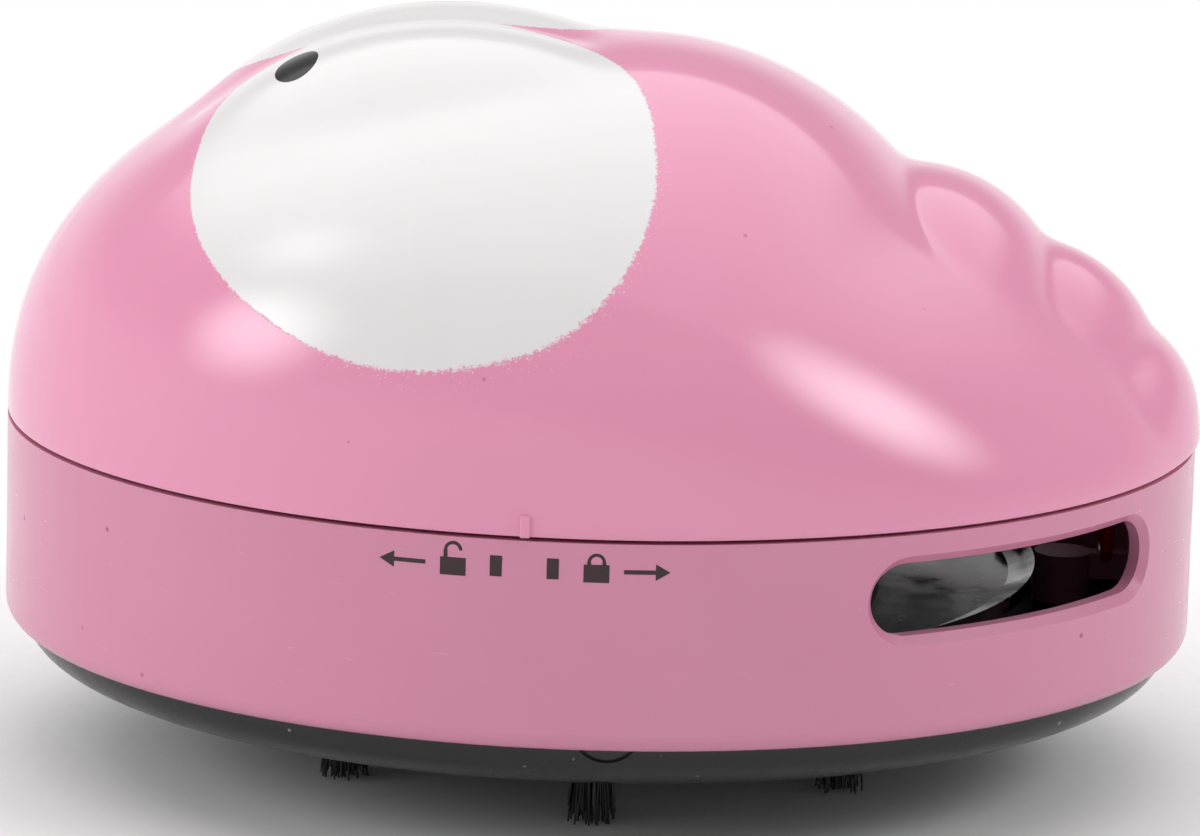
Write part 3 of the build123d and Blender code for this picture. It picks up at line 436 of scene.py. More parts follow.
# %% [markdown]
# ## The skin of the cover
# On the real object this is one injection-moulded ABS shell, 2 mm thick: an oval
# helmet with two raised eyes side by side near the head and three rounded ridges
# that step down to the tail. It could be sculpted, or joined from egg shapes with
# Booleans, which would leave hard creases. Here it is a ball of square faces whose
# points move out along their own rays to the furthest of the helmet and its
# swellings. Where two of them meet, a high power mean rounds the crease as a
# mould maker's cutter does. Square faces leave no pole where the gloss would
# pinch.

# %% Form of the cover
half_length = 55.0
half_width = 47.5
back_height = 34.6
head_power = 2.31  # 2 is an ellipse, more is boxier
flank_power = 2.49
tail_power = 1.32
crease_power = 75  # more makes the creases between the swellings tighter

# half length, half width, half height, then X, Y and Z of the middle, as shares
# of the cover's half length and half width and of its back's height
back = (0.603, 0.971, 0.977, 0.051, 0.0, 0.042)
eye = (0.534, 0.505, 0.694, -0.259, 0.125, 0.38)
other_eye = (0.534, 0.505, 0.694, -0.259, -0.125, 0.38)
first_ridge = (0.259, 0.472, 0.412, 0.519, 0.0, 0.287)
second_ridge = (0.238, 0.329, 0.378, 0.701, 0.0, 0.133)
last_ridge = (0.147, 0.318, 0.234, 0.855, 0.0, 0.058)


def helmet_reach(rays):
    """How far the helmet reaches along unit rays from the seam's middle, in mm."""
    near, far = np.full(len(rays), 5.0), np.full(len(rays), 80.0)
    for _ in range(30):
        middle = (near + far) / 2
        x, y, z = (rays * middle[:, None]).T
        level = np.clip(z / back_height, 0, 1)
        head = half_length * (1 - level**head_power) ** (1 / head_power)
        tail = half_length * (1 - level**tail_power) ** (1 / tail_power)
        flank = half_width * (1 - level**flank_power) ** (1 / flank_power)
        along = (x - (tail - head) / 2) / np.maximum((tail + head) / 2, 1e-6)
        inside = (along**2 + (y / np.maximum(flank, 1e-6)) ** 2 < 1) & (z < back_height)
        near, far = np.where(inside, middle, near), np.where(inside, far, middle)
    return near


def egg_reach(rays, shares):
    """How far an egg-shaped swelling reaches along unit rays, or 0 where it is missed."""
    unit = np.array([half_length, half_width, back_height] * 2)
    sizes, place = np.split(np.array(shares) * unit, 2)
    a = ((rays / sizes) ** 2).sum(1)
    b = -2 * (rays * place / sizes**2).sum(1)
    c = ((place / sizes) ** 2).sum() - 1
    root = np.sqrt(np.maximum(b * b - 4 * a * c, 0))
    return np.where(root > 0, np.maximum((root - b) / (2 * a), 0), 0)


def cover_reach(rays):
    """How far the whole cover reaches along unit rays, with soft creases."""
    swellings = (back, eye, other_eye, first_ridge, second_ridge, last_ridge)
    reaches = np.array([helmet_reach(rays)] + [egg_reach(rays, shares) for shares in swellings])
    furthest = reaches.max(0)
    return furthest * ((reaches / furthest) ** crease_power).sum(0) ** (1 / crease_power)


# %% Skin of the cover
squares_on_a_side = 92  # an even number, so that one row lies on the seam
bpy.ops.mesh.primitive_cube_add(size=2, location=(0, 0, 0))
cover_skin = named("cover_skin")
bpy.ops.object.mode_set(mode="EDIT")
bpy.ops.mesh.select_all(action="SELECT")
bpy.ops.mesh.subdivide(number_cuts=squares_on_a_side - 1)
bpy.ops.object.mode_set(mode="OBJECT")
ball = np.empty(len(cover_skin.data.vertices) * 3)
cover_skin.data.vertices.foreach_get("co", ball)
ball = np.tan(ball.reshape(-1, 3) * math.pi / 4)  # evens out the squares over the ball
ball /= np.linalg.norm(ball, axis=1)[:, None]
skin_points = ball * cover_reach(ball)[:, None] * mm
skin_points[:, 2] += seam_middle.z
cover_skin.data.vertices.foreach_set("co", skin_points.ravel())

mesh = bmesh.new()
mesh.from_mesh(cover_skin.data)
below = [v for v in mesh.verts if v.co.z < seam_middle.z - 0.01 * mm]
bmesh.ops.delete(mesh, geom=below, context="VERTS")
bmesh.ops.recalc_face_normals(mesh, faces=mesh.faces)
mesh.to_mesh(cover_skin.data)
mesh.free()
top_face = max(cover_skin.data.polygons, key=lambda face: face.center.z)
if top_face.normal.z < 0:
    cover_skin.data.flip_normals()
print("eye tops:", round(max(v.co.z for v in cover_skin.data.vertices) / mm, 1), "mm high")

# %% [markdown]
# The shell gets its 2 mm wall inward with Solidify, and its lower outer edge is
# broken a little, as every moulded edge is. The recess of the switch on the far
# side and the slot for the knob's stem are cut with boxes, as a mould core would
# leave them. Four screw bosses stand inside, and a short index rib stands on the
# near side above the marks of the ring.

# %% Wall of the cover
wall = 2.0
seam_edge = 0.3
core_share = 0.985  # of the skin: a solid that ends inside the wall, to trim the bosses


def edges_near(piece, test):
    """Selects the edges of which both ends pass a test on their place in mm."""
    only(piece)
    bpy.ops.object.mode_set(mode="EDIT")
    bpy.ops.mesh.select_all(action="DESELECT")
    bpy.ops.object.mode_set(mode="OBJECT")
    good = [test(*(vertex.co / mm)) for vertex in piece.data.vertices]
    for edge in piece.data.edges:
        edge.select = all(good[corner] for corner in edge.vertices)
    bpy.ops.object.mode_set(mode="EDIT")
    bpy.ops.mesh.select_mode(type="EDGE")


def on_seam(x, y, z):
    """True on the outer edge of the cover where it meets the ring."""
    return abs(z - seam_level) < 0.02 and math.hypot(x / half_length, y / half_width) > 0.995


only(cover_skin)
bpy.ops.object.duplicate()
cover_core = named("cover_core")
edges_near(cover_core, on_seam)
bpy.ops.mesh.edge_face_add()
bpy.ops.mesh.select_all(action="SELECT")
bpy.ops.mesh.normals_make_consistent(inside=False)
bpy.ops.transform.resize(value=[core_share] * 3, center_override=seam_middle)
bpy.ops.object.mode_set(mode="OBJECT")

thick = cover_skin.modifiers.new("wall", "SOLIDIFY")
thick.thickness = wall * mm
thick.offset = -1
apply_all(cover_skin)
edges_near(cover_skin, on_seam)
bpy.ops.mesh.bevel(offset=seam_edge * mm, segments=2)
bpy.ops.object.mode_set(mode="OBJECT")
counted(cover_skin)

# %% Recess, bosses and rib of the cover
switch_level = 38.9
recess_floor = 46.2
recess_size = (16.0, 7.0)
recess_wall = 1.9
stem_slot = (4.6, 2.2)
boss_places = [(x, y) for x in (-36.5, 36.5) for y in (-24.0, 24.0)]
boss_radius = 2.8
boss_height = 30.0  # well into the dome, which trims it
pilot_radius = 1.12
pilot_depth = 4.0
rib_place = -6.4
rib_size = (0.9, 1.6, 2.0)
rib_stands = 0.3


def block(name, middle, size, round_mm=0.0, segments=3):
    """A box with its edges rounded, all sizes in mm."""
    only()
    bpy.ops.mesh.primitive_cube_add(size=1, location=Vector(middle) * mm, scale=Vector(size) * mm)
    piece = settle(named(name))
    if round_mm:
        edge = piece.modifiers.new("round", "BEVEL")
        edge.width = round_mm * mm
        edge.segments = segments
        apply_all(piece)
    return piece


def rod(name, middle, radius, length, sides=48):
    """An upright cylinder, all sizes in mm."""
    only()
    bpy.ops.mesh.primitive_cylinder_add(
        vertices=sides, radius=radius * mm, depth=length * mm, location=Vector(middle) * mm
    )
    return settle(named(name))


def cut(piece, tool, operation="DIFFERENCE", keep_tool=False):
    """Cuts, joins or keeps with a second solid."""
    step = piece.modifiers.new("cut", "BOOLEAN")
    step.operation = operation
    step.solver = "EXACT"
    step.object = tool
    apply_all(piece)
    if not keep_tool:
        bpy.data.objects.remove(tool)


inner_face = recess_floor - recess_wall
pad_size = (recess_size[0] + 2 * recess_wall, 4, recess_size[1] + 2 * recess_wall)
pad = block("recess_pad", (0, inner_face + 2, switch_level), pad_size)
cut(pad, cover_core, "INTERSECT", keep_tool=True)
cut(cover_skin, pad, "UNION")
for x, y in boss_places:
    boss = rod("boss", (x, y, seam_level + boss_height / 2), boss_radius, boss_height)
    cut(boss, cover_core, "INTERSECT", keep_tool=True)
    cut(cover_skin, boss, "UNION")
    cut(cover_skin, rod("pilot", (x, y, seam_level), pilot_radius, 2 * pilot_depth, sides=24))
bpy.data.objects.remove(cover_core)

recess_tool_size = (recess_size[0], 8, recess_size[1])
recess = block("recess_tool", (0, recess_floor + 4, switch_level), recess_tool_size, 1.6, 5)
cut(cover_skin, recess)
window_size = (stem_slot[0], 3 * recess_wall, stem_slot[1])
cut(cover_skin, block("stem_window", (0, recess_floor, switch_level), window_size, 0.3))

rib_face = half_width * math.sqrt(1 - (rib_place / half_length) ** 2)
rib_middle = (rib_place, -rib_face + rib_size[1] / 2 - rib_stands, seam_level + rib_size[2] / 2)
cut(cover_skin, block("rib", rib_middle, rib_size, 0.15), "UNION")
only(cover_skin)
bpy.ops.object.shade_smooth_by_angle(angle=math.radians(38))
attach(cover_skin, "cover")
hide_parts("dome_shell")
counted(cover_skin)

# %% [markdown]
# ## The gloss of the cover and its sprayed eyes
# The shell is moulded in pink ABS with a mirror polish. The whites of the eyes
# are sprayed on through a mask, so their edge is slightly furry: paint crept
# under the mask by a few tenths of a millimetre, and specks landed beside it.
# The pupils are printed by a pad in gloss black. All of this is drawn in the
# material by distance: each white is a rounded oval seen along the direction
# in which the mask was held.

# %% Material of the cover
eye_mask_facing = Vector((-0.745, -0.208, 1.0)).normalized()
eye_mask_along = (Vector((1, 0, 0)) - eye_mask_facing * eye_mask_facing.x).normalized()
eye_mask_across = eye_mask_facing.cross(eye_mask_along)
eye_mask_middle = (5.07, -16.09)
eye_mask_half = (18.75, 24.84)
eye_mask_turn = -0.047
eye_mask_power = 2.26
eye_mask_reach = 20  # mm from the middle to the edge, roughly
pupil_middle = Vector((-28.5, -8.9, 33.7))
pupil_half = (2.15, 3.55)
far_pupil_shift = Vector((0, -3.0, -0.6))  # the far one was printed further out

material, tree, shader, place = surface("Gloss_ABS_pink_sprayed_white_eyes", 0.1, ior=1.53)


def worked(operation, first, second=0.0):
    """One sum on numbers in the tree of the material at hand."""
    return add(tree, "ShaderNodeMath", {0: first, 1: second}, operation=operation).outputs[0]


def measured(direction, start):
    """How far a point lies along a direction in mm, less a start."""
    along = add(tree, "ShaderNodeVectorMath", {0: near_side, 1: direction}, operation="DOT_PRODUCT")
    return worked("SUBTRACT", along.outputs["Value"], start)


from_seam = add(tree, "ShaderNodeVectorMath", {0: place, 1: seam_middle}, operation="SUBTRACT")
in_mm = add(
    tree, "ShaderNodeVectorMath", {0: from_seam.outputs[0], "Scale": 1 / mm}, operation="SCALE"
).outputs[0]
parts = add(tree, "ShaderNodeSeparateXYZ", {0: in_mm}).outputs
mirrored_y = worked("MULTIPLY", worked("ABSOLUTE", parts["Y"]), -1)
near_side = add(
    tree, "ShaderNodeCombineXYZ", {"X": parts["X"], "Y": mirrored_y, "Z": parts["Z"]}
).outputs[0]

turn_cos, turn_sin = math.cos(eye_mask_turn), math.sin(eye_mask_turn)
turned_along = eye_mask_along * turn_cos + eye_mask_across * turn_sin
turned_across = eye_mask_across * turn_cos - eye_mask_along * turn_sin
turned_middle = (
    eye_mask_middle[0] * turn_cos + eye_mask_middle[1] * turn_sin,
    eye_mask_middle[1] * turn_cos - eye_mask_middle[0] * turn_sin,
)
powers = []
for direction, middle, half in zip((turned_along, turned_across), turned_middle, eye_mask_half):
    share = worked("DIVIDE", measured(direction, middle), half)
    powers.append(worked("POWER", worked("ABSOLUTE", share), eye_mask_power))
oval = worked("POWER", worked("ADD", *powers), 1 / eye_mask_power)
outside = worked("MULTIPLY", worked("SUBTRACT", oval, 1), eye_mask_reach)
creep = noise(tree, place, 0.4, detail=5, roughness=0.75)
fringe = worked("MULTIPLY", worked("SUBTRACT", creep, 0.5), 1.0)
edge = worked("ADD", outside, fringe)
white_share = between(tree, edge, 1, 0, start=-0.05, end=0.07)
overspray = add(
    tree, "ShaderNodeTexVoronoi", {"Vector": place, "Scale": 1 / (0.32 * mm)}, feature="F1"
)
droplet_size = between(tree, outside, 0.24, 0.0, start=0.0, end=1.5)
droplet = worked("LESS_THAN", overspray.outputs["Distance"], droplet_size)
droplet = worked("MULTIPLY", droplet, worked("GREATER_THAN", overspray.outputs["Color"], 0.4))
white_share = worked("MAXIMUM", white_share, worked("MULTIPLY", droplet, 0.75))
upper_side = between(tree, parts["Z"], 0, 1, start=8, end=9)
white_share = worked("MULTIPLY", white_share, upper_side)

pupil_normal = Vector((-0.42, -0.16, 0.9)).normalized()
pupil_along = (Vector((1, 0, 0)) - pupil_normal * pupil_normal.x).normalized()
pupil_across = pupil_normal.cross(pupil_along)
on_far_eye = worked("GREATER_THAN", parts["Y"], 0)
pupil_axes = []
for direction, half in zip((pupil_along, pupil_across), pupil_half):
    reach = measured(direction, pupil_middle.dot(direction))
    outward = worked("MULTIPLY", on_far_eye, far_pupil_shift.dot(direction))
    pupil_axes.append(worked("DIVIDE", worked("SUBTRACT", reach, outward), half))
squares = [worked("MULTIPLY", axis, axis) for axis in pupil_axes]
from_pupil = worked("SQRT", worked("ADD", *squares))
pupil_share = between(tree, from_pupil, 1, 0, start=0.985, end=1.015)
pupil_share = worked("MULTIPLY", pupil_share, upper_side)

clouds = noise(tree, place, 22, detail=3)
pink = blended(tree, clouds, tint("#DE8FAF"), tint("#E294B3"))
dust = specks(tree, place, 7, 0.28)
pink = blended(tree, worked("MULTIPLY", dust, 0.5), pink, tint("#9C5274"))
white_noise = noise(tree, place, 9, detail=5)
white_paint = blended(tree, white_noise, tint("#DEDADB"), tint("#E2DFE0"))
colour = blended(tree, white_share, pink, white_paint)
colour = blended(tree, pupil_share, colour, tint("#0B0B0C"))
tree.links.new(colour, shader.inputs["Base Color"])

rubs = noise(tree, place, 6, detail=5, roughness=0.65)
gloss = between(tree, rubs, 0.07, 0.13)
scuffs = noise(tree, place, 0.35, stretch=(22, 3, 1), detail=3)
scuff = between(tree, scuffs, 0, 0.12, start=0.7, end=0.8)
gloss = worked("ADD", gloss, scuff)
gloss = worked("ADD", gloss, worked("MULTIPLY", white_share, 0.08))
tree.links.new(gloss, shader.inputs["Roughness"])
tree.links.new(between(tree, pupil_share, 0.5, 0.2), shader.inputs["Specular IOR Level"])
waves = noise(tree, place, 11, detail=2)
soft_bump = bumped(tree, shader, waves, 0.03, strength=0.5)
paint_step = worked("ADD", white_share, pupil_share)
bumped(tree, shader, paint_step, 0.02, strength=0.6, after=soft_bump)
cover_skin.data.materials.clear()
cover_skin.data.materials.append(material)

# %% [markdown]
# ## Bristles
# Ten tufts of black nylon are stapled into the holes of the bottom plate. Hair
# particles would be quick, but they can't be counted or exported as solids. Here
# each bristle of one tuft is a slender cone with five sides, leaning outward a
# little and cut to a ragged length, and the tuft is then copied into every hole
# with a turn of its own.

# %% Bristles
tuft_root = 8.2
tuft_radius = 1.62
tuft_flare = 0.42
bristle_count = 120
bristle_thick = (0.13, 0.09)  # radius at the root and at the tip
bristle_rag = 2.4
tuft_turn = 2.1  # radians from one tuft to the next
tuft_places = [(0, -25.5), (0, 25.5)]
for x, y in ((22.8, 13.0), (18.9, 6.6)):
    tuft_places += [(a * x, b * y) for a in (-1, 1) for b in (-1, 1)]

chance = random.Random(11)
bristles = []
for count in range(bristle_count):
    share = math.sqrt((count + 0.5) / bristle_count)
    turn = count * math.pi * (3 - math.sqrt(5))
    outward = Vector((math.cos(turn), math.sin(turn), 0))
    root = outward * share * tuft_radius + Vector((0, 0, tuft_root))
    spread = outward * share * tuft_flare * chance.uniform(0.3, 1.9)
    stray = Vector((chance.uniform(-0.3, 0.3), chance.uniform(-0.3, 0.3), 0))
    height = 0.05 + bristle_rag * chance.random() ** 1.7 * (0.45 + 0.55 * share)
    tip = Vector((root.x, root.y, 0)) + spread + stray + Vector((0, 0, height))
    lean = tip - root
    bpy.ops.mesh.primitive_cone_add(
        vertices=5,
        radius1=bristle_thick[0] * mm,
        radius2=bristle_thick[1] * mm,
        depth=lean.length * mm,
        location=(root + tip) / 2 * mm,
        rotation=lean.to_track_quat("Z", "Y").to_euler(),
    )
    bristles.append(bpy.context.active_object)
tuft = settle(joined("tuft", bristles))
tufts = []
for count, (x, y) in enumerate(tuft_places):
    only(tuft)
    bpy.ops.object.duplicate()
    copy = bpy.context.active_object
    copy.rotation_euler.z = count * tuft_turn
    copy.location = Vector((x, y, 0)) * mm
    tufts.append(settle(copy))
bpy.data.objects.remove(tuft)
bristle_tufts = joined("bristle_tufts", tufts)
material, tree, shader, place = surface("Black_nylon_bristle", 0.45)
strands = noise(tree, place, 0.5, stretch=(1, 1, 12), detail=3)
tree.links.new(blended(tree, strands, tint("#08080A"), tint("#26262A")), shader.inputs["Base Color"])
tree.links.new(between(tree, strands, 0.3, 0.6), shader.inputs["Roughness"])
bumped(tree, shader, strands, 0.02)
bristle_tufts.data.materials.append(material)
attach(bristle_tufts, "base")
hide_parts("brush_tufts")
counted(bristle_tufts)

# %% [markdown]
# ## Marks of the twist lock
# Two dark bars and a small sign beside each show which way the cover turns. On
# the real object they are printed by a pad in one dark ink. The signs here are
# plain ones: an arrow with an open lock, and a closed lock with an arrow. They
# are flat pieces a few hundredths of a millimetre thick, bent onto the oval face
# of the ring, so that their edge stays sharp however close one looks.

# %% Marks of the twist lock
ink_stands = 0.02
ink_thick = 0.08
bar_size = (1.05, 1.85)
bar_places = (-8.85, -3.9)
bar_level = 29.05
sign_places = (-15.6, 2.9)
lock_body = (2.25, 1.6)
shackle_radius = 0.66
shackle_thick = 0.35
arrow_length = 3.6
arrow_thick = 0.38
arrow_head = 0.85
lock_aside = 3.0  # from the middle of a sign to its lock
arrow_aside = 1.2


def plate_at(name, x, z, width, height):
    """A flat patch of ink, drawn upright at the origin's face."""
    return block(name, (x, 0, z), (width, ink_thick, height))


def shackle_at(x, z, opened):
    """The bow of a lock: half a ring on two short legs, lifted where it is open."""
    lift = 0.45 if opened else 0.0
    only()
    bpy.ops.mesh.primitive_torus_add(
        major_radius=shackle_radius * mm,
        minor_radius=shackle_thick / 2 * mm,
        major_segments=32,
        minor_segments=8,
        location=Vector((x, 0, z + lift)) * mm,
        rotation=(math.pi / 2, 0, 0),
    )
    bow = settle(named("bow"))
    cut(bow, block("below", (x, 0, z + lift - 1), (4, 4, 2)))
    only(bow)
    bpy.ops.object.mode_set(mode="EDIT")
    bpy.ops.mesh.select_all(action="SELECT")
    flat = ink_thick / shackle_thick
    bpy.ops.transform.resize(value=(1, flat, 1), center_override=(0, 0, 0))
    bpy.ops.object.mode_set(mode="OBJECT")
    legs = []
    for side in (-1, 1):
        foot = z + lift if opened and side > 0 else z - 0.35
        head = z + lift + 0.02
        if head - foot > 0.05:
            middle = (foot + head) / 2
            leg_x = x + side * shackle_radius
            legs.append(plate_at("leg", leg_x, middle, shackle_thick, head - foot))
    return [bow] + legs


def arrow_at(x, z, way):
    """A straight arrow that points to -X or +X."""
    shaft = plate_at("shaft", x - way * arrow_head / 2, z, arrow_length - arrow_head, arrow_thick)
    only()
    bpy.ops.mesh.primitive_cylinder_add(
        vertices=3,
        radius=arrow_head * mm,
        depth=ink_thick * mm,
        location=Vector((x + way * (arrow_length / 2 - arrow_head / 2), 0, z)) * mm,
        rotation=(math.pi / 2, way * math.pi / 2, 0),
    )
    return [shaft, settle(named("head"))]


marks = [plate_at("bar", x, bar_level, *bar_size) for x in bar_places]
for x, way, opened in ((sign_places[0], -1, True), (sign_places[1], 1, False)):
    lock_x = x - way * lock_aside
    marks.append(plate_at("lock", lock_x, bar_level - 0.3, *lock_body))
    marks += shackle_at(lock_x, bar_level + 0.7, opened)
    marks += arrow_at(x + way * arrow_aside, bar_level - 0.1, way)
lock_marks = joined("lock_marks", marks)
only(lock_marks)
bpy.ops.object.mode_set(mode="EDIT")
bpy.ops.mesh.select_all(action="SELECT")
bpy.ops.mesh.quads_convert_to_tris()
bpy.ops.mesh.subdivide(number_cuts=1)
bpy.ops.object.mode_set(mode="OBJECT")
for point in lock_marks.data.vertices:
    x = point.co.x / mm / half_length
    face = half_width * math.sqrt(1 - x * x)
    point.co.y += (ink_thick / 2 - ink_stands - face) * mm
material, tree, shader, place = surface("Dark_pad_printed_ink", 0.42)
coverage = noise(tree, place, 0.35, detail=3)
tree.links.new(blended(tree, coverage, tint("#1C0E13"), tint("#3A1A24")), shader.inputs["Base Color"])
tree.links.new(between(tree, coverage, 0.32, 0.55), shader.inputs["Roughness"])
bumped(tree, shader, coverage, 0.01)
lock_marks.data.materials.clear()
lock_marks.data.materials.append(material)
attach(lock_marks, "base")
counted(lock_marks)

# %% [markdown]
# ## Finishes of the ring, the plate and the tray
# The ring is moulded in the same pink ABS but left with a satin gloss. Its pink
# is painted a little darker and greyer than the cover's, as painted shade on its
# upright face. The plate below is black ABS with a finer shine, and the tray
# inside the slot was polished for easy emptying, so it reflects the light that
# falls through the slot. The tray is painted a warm dark grey instead of black,
# as painted reflection that brightens what the slot shows. Fine dust and
# hairline scratches lie on all three.

# %% Ring, plate and tray


def dress(material, *nodes):
    """Gives construction nodes a finish."""
    for name in nodes:
        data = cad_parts[name].data
        for place_in_list in range(len(data.materials)):
            data.materials[place_in_list] = material
    print(material.name, "on", ", ".join(nodes))


def dusty(tree, shader, place, colour, speck_colour, spacing_mm=5.0, radius_mm=0.3):
    """Lays specks of dust over a colour."""
    share = specks(tree, place, spacing_mm, radius_mm)
    tree.links.new(blended(tree, share, colour, tint(speck_colour)), shader.inputs["Base Color"])


def scratched(tree, place, gloss, low, high, size_mm=0.4):
    """Adds hairlines, drawn out along X, to a gloss."""
    hair = noise(tree, place, size_mm, stretch=(24, 3, 1), detail=3)
    line = between(tree, hair, low, high, start=0.68, end=0.8)
    return add(tree, "ShaderNodeMath", {0: gloss, 1: line}, operation="ADD").outputs[0]


material, tree, shader, place = surface("Satin_ABS_pink_ring_with_painted_shade", 0.2, ior=1.5)
clouds = noise(tree, place, 18, detail=3)
# The ring's pink is painted darker and greyer than the cover's pink of the same ABS: painted shade on
# its upright face.
pink = blended(tree, clouds, tint("#CA829D"), tint("#CF88A3"))
dusty(tree, shader, place, pink, "#A8597B")
gloss = between(tree, noise(tree, place, 5, detail=5), 0.17, 0.26)
tree.links.new(scratched(tree, place, gloss, 0, 0.12), shader.inputs["Roughness"])
bumped(tree, shader, noise(tree, place, 9, detail=2), 0.02, strength=0.4)
dress(material, "base_ring")

material, tree, shader, place = surface("Satin_ABS_black_plate", 0.2, ior=1.5)
clouds = noise(tree, place, 12, detail=4)
black = blended(tree, clouds, tint("#09090A"), tint("#111113"))
dusty(tree, shader, place, black, "#77777B", spacing_mm=3.0, radius_mm=0.25)
gloss = between(tree, noise(tree, place, 4, detail=5), 0.16, 0.3)
tree.links.new(scratched(tree, place, gloss, 0, 0.15), shader.inputs["Roughness"])
bumped(tree, shader, noise(tree, place, 0.3, detail=2), 0.003)
dress(material, "bottom_plate")

material, tree, shader, place = surface("Polished_ABS_black_tray_with_painted_reflection", 0.08, ior=2.1)
film = noise(tree, place, 5, detail=6, roughness=0.65)
# The black tray is painted a warm dark grey here, lifted above black ABS as painted reflection that
# brightens what the slot shows.
black = blended(tree, between(tree, film, 0, 1), tint("#1C1819"), tint("#3A3434"))
dusty(tree, shader, place, black, "#B9B4AE", spacing_mm=2.2, radius_mm=0.3)
gloss = between(tree, film, 0.05, 0.22)
tree.links.new(scratched(tree, place, gloss, 0, 0.2), shader.inputs["Roughness"])
bumped(tree, shader, noise(tree, place, 3, detail=2), 0.01, strength=0.5)
dress(material, "dust_tray")

# %% [markdown]
# ## Finishes of the works
# The chassis and the shroud are black ABS with a spark-eroded grain, and the fan
# is smoother. Screws are zinc plated, contacts and springs nickel plated, and
# the motor can is drawn and plated, so its streaks run upright. The rotor is a
# stack of sheets, and its coils are wound copper wire.

# %% Plastics inside
# colour and its dark clouds, roughness, then grain, depth of the grain and clouds in mm
plastics = (
    ("Grained_ABS_black_chassis", "#242427", "#17171A", 0.5, 0.35, 0.02, 14, ("chassis", "fan_shroud")),
    ("Smooth_ABS_black_fan", "#202023", "#141416", 0.32, 0.3, 0.006, 8, ("impeller",)),
    ("Moulded_black_switch_housing", "#1E1E20", "#121214", 0.42, 0.2, 0.01, 5, ("switch_body",)),
    ("Grained_black_slide_knob", "#232326", "#151517", 0.5, 0.25, 0.02, 3, ("switch_knob",)),
    ("White_polypropylene_frame", "#E2E1DC", "#D6D5CF", 0.38, 0.3, 0.008, 14, ("filter_frame",)),
    ("Ivory_nylon_motor_cap", "#E3DFCF", "#D6D1BE", 0.45, 0.25, 0.01, 6, ("motor_end_cap",)),
    ("Red_PVC_insulation", "#B3140F", "#8E0D0B", 0.3, 0.4, 0.01, 5, ("lead_red", "lead_switch")),
    ("Black_PVC_insulation", "#1B1B1C", "#101011", 0.3, 0.4, 0.01, 5, ("lead_black",)),
    ("Sintered_ferrite_magnet", "#3A3A3D", "#262629", 0.62, 0.12, 0.02, 2, ("motor_magnets",)),
)
for *finish, nodes in plastics:
    dress(moulded(*finish), *nodes)

# %% Metals inside
# colour and its dark streaks, roughness, how the streaks are drawn out, then their
# width and depth in mm
screws = ("base_screws", "chassis_screws", "clamp_screws")
contacts = ("battery_contacts", "battery_link", "battery_springs", "motor_terminals")
metals = (
    ("Zinc_plated_screw", "#C9CCD0", "#A3A7AD", 0.3, (1, 1, 1), 0.15, 0.003, screws),
    ("Zinc_plated_sheet", "#C4C6C9", "#A9ACB0", 0.34, (14, 1, 1), 0.12, 0.003, ("motor_clamp",)),
    ("Drawn_nickel_plated_can", "#C8C6C2", "#A8A6A2", 0.24, (1, 1, 16), 0.15, 0.003, ("motor_can",)),
    ("Nickel_plated_contact", "#D2CFC8", "#B2AFA8", 0.22, (1, 8, 1), 0.12, 0.003, contacts),
    ("Ground_steel_shaft", "#CFD0D2", "#ABACB0", 0.18, (3, 3, 0.4), 0.1, 0.003, ("motor_shaft",)),
    ("Sintered_bronze_bush", "#B58A54", "#8A6536", 0.45, (1, 1, 1), 0.08, 0.01, ("motor_bushes",)),
)
for *finish, nodes in metals:
    dress(plated(*finish), *nodes)


def layered(name, light, dark, roughness, pitch_mm, depth_mm):
    """Metal in even upright layers, such as stacked sheet or wound wire."""
    material, tree, shader, place = surface(name, roughness, metallic=1.0)
    wave = add(
        tree,
        "ShaderNodeTexWave",
        {"Vector": place, "Scale": math.pi / (10 * pitch_mm * mm), "Distortion": 0.3},
        bands_direction="Z",
    ).outputs["Fac"]
    tree.links.new(blended(tree, wave, tint(dark), tint(light)), shader.inputs["Base Color"])
    tree.links.new(between(tree, wave, roughness * 1.3, roughness * 0.8), shader.inputs["Roughness"])
    bumped(tree, shader, wave, depth_mm)
    return material


dress(layered("Stacked_rotor_sheet", "#8E8E90", "#4E4E50", 0.35, 0.5, 0.03), "motor_rotor")
dress(layered("Enamelled_copper_winding", "#C87A48", "#7E3F1E", 0.3, 0.25, 0.06), "rotor_coils")

# %% [markdown]
# ## Filter cloth and cells
# The cloth is pressed from short fibres that cross each other, and dust has
# greyed it towards the middle. The cells have a printed sleeve that leaves the
# steel ends bare. The sleeve is plain: a dark body and a warm band at the pole
# end, with no words.

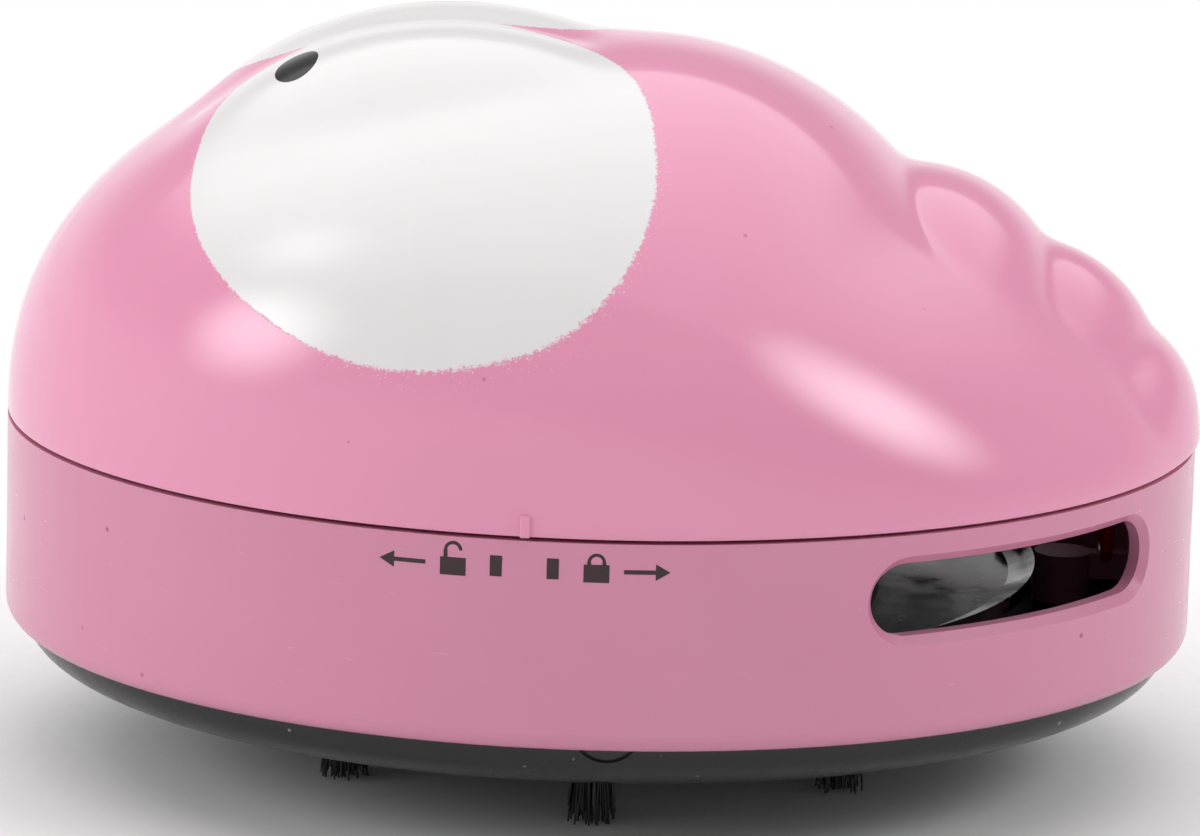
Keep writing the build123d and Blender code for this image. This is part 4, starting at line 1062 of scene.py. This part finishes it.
# %% Filter cloth
material, tree, shader, place = surface("Pressed_fibre_filter_cloth", 0.92)
one_way = noise(tree, place, 0.35, stretch=(9, 1, 1), detail=4, roughness=0.7)
other_way = noise(tree, place, 0.35, stretch=(1, 9, 1), detail=4, roughness=0.7)
fibres = worked("MAXIMUM", one_way, other_way)
cloth = blended(tree, between(tree, fibres, 0, 1, 0.45, 0.75), tint("#C9C7BE"), tint("#E4E2DA"))
parts = add(tree, "ShaderNodeSeparateXYZ", {0: place}).outputs
flat = add(tree, "ShaderNodeCombineXYZ", {"X": parts["X"], "Y": parts["Y"]}).outputs[0]
reach = add(tree, "ShaderNodeVectorMath", {0: flat}, operation="LENGTH").outputs["Value"]
soil = between(tree, reach, 0.55, 0.1, start=3 * mm, end=20 * mm)
patchy = worked("MULTIPLY", soil, noise(tree, place, 4))
tree.links.new(blended(tree, patchy, cloth, tint("#8D877E")), shader.inputs["Base Color"])
bumped(tree, shader, fibres, 0.12)
dress(material, "filter_cloth")

# %% Cells
cell_place = 20.6
cell_level = 39.0
sleeve_reach = 24.2
band_start = 15.0
bare_end_radius = 5.8
material, tree, shader, place = surface("Printed_cell_sleeve_and_steel_ends", 0.28)
parts = add(tree, "ShaderNodeSeparateXYZ", {0: place}).outputs
side = worked("SIGN", parts["Y"])
along = worked("DIVIDE", worked("MULTIPLY", worked("MULTIPLY", parts["X"], side), -1), mm)
off_axis = worked("SUBTRACT", worked("ABSOLUTE", parts["Y"]), cell_place * mm)
off_level = worked("SUBTRACT", parts["Z"], cell_level * mm)
off_axis = worked("SQRT", worked("ADD", worked("POWER", off_axis, 2), worked("POWER", off_level, 2)))
end = worked("GREATER_THAN", worked("ABSOLUTE", along), sleeve_reach)
bare = worked("MULTIPLY", end, worked("LESS_THAN", off_axis, bare_end_radius * mm))
band = worked("GREATER_THAN", along, band_start)
print_grain = noise(tree, place, 0.2, detail=2)
body_colour = blended(tree, print_grain, tint("#222B33"), tint("#2D3740"))
band_colour = blended(tree, print_grain, tint("#B4884A"), tint("#C4985A"))
colour = blended(tree, band, body_colour, band_colour)
tree.links.new(blended(tree, bare, colour, tint("#C2C3C5")), shader.inputs["Base Color"])
tree.links.new(bare, shader.inputs["Metallic"])
worn = between(tree, noise(tree, place, 4, detail=4), 0.2, 0.38)
tree.links.new(worn, shader.inputs["Roughness"])
bumped(tree, shader, noise(tree, place, 6, detail=2), 0.02, strength=0.4)
dress(material, "battery_cells")
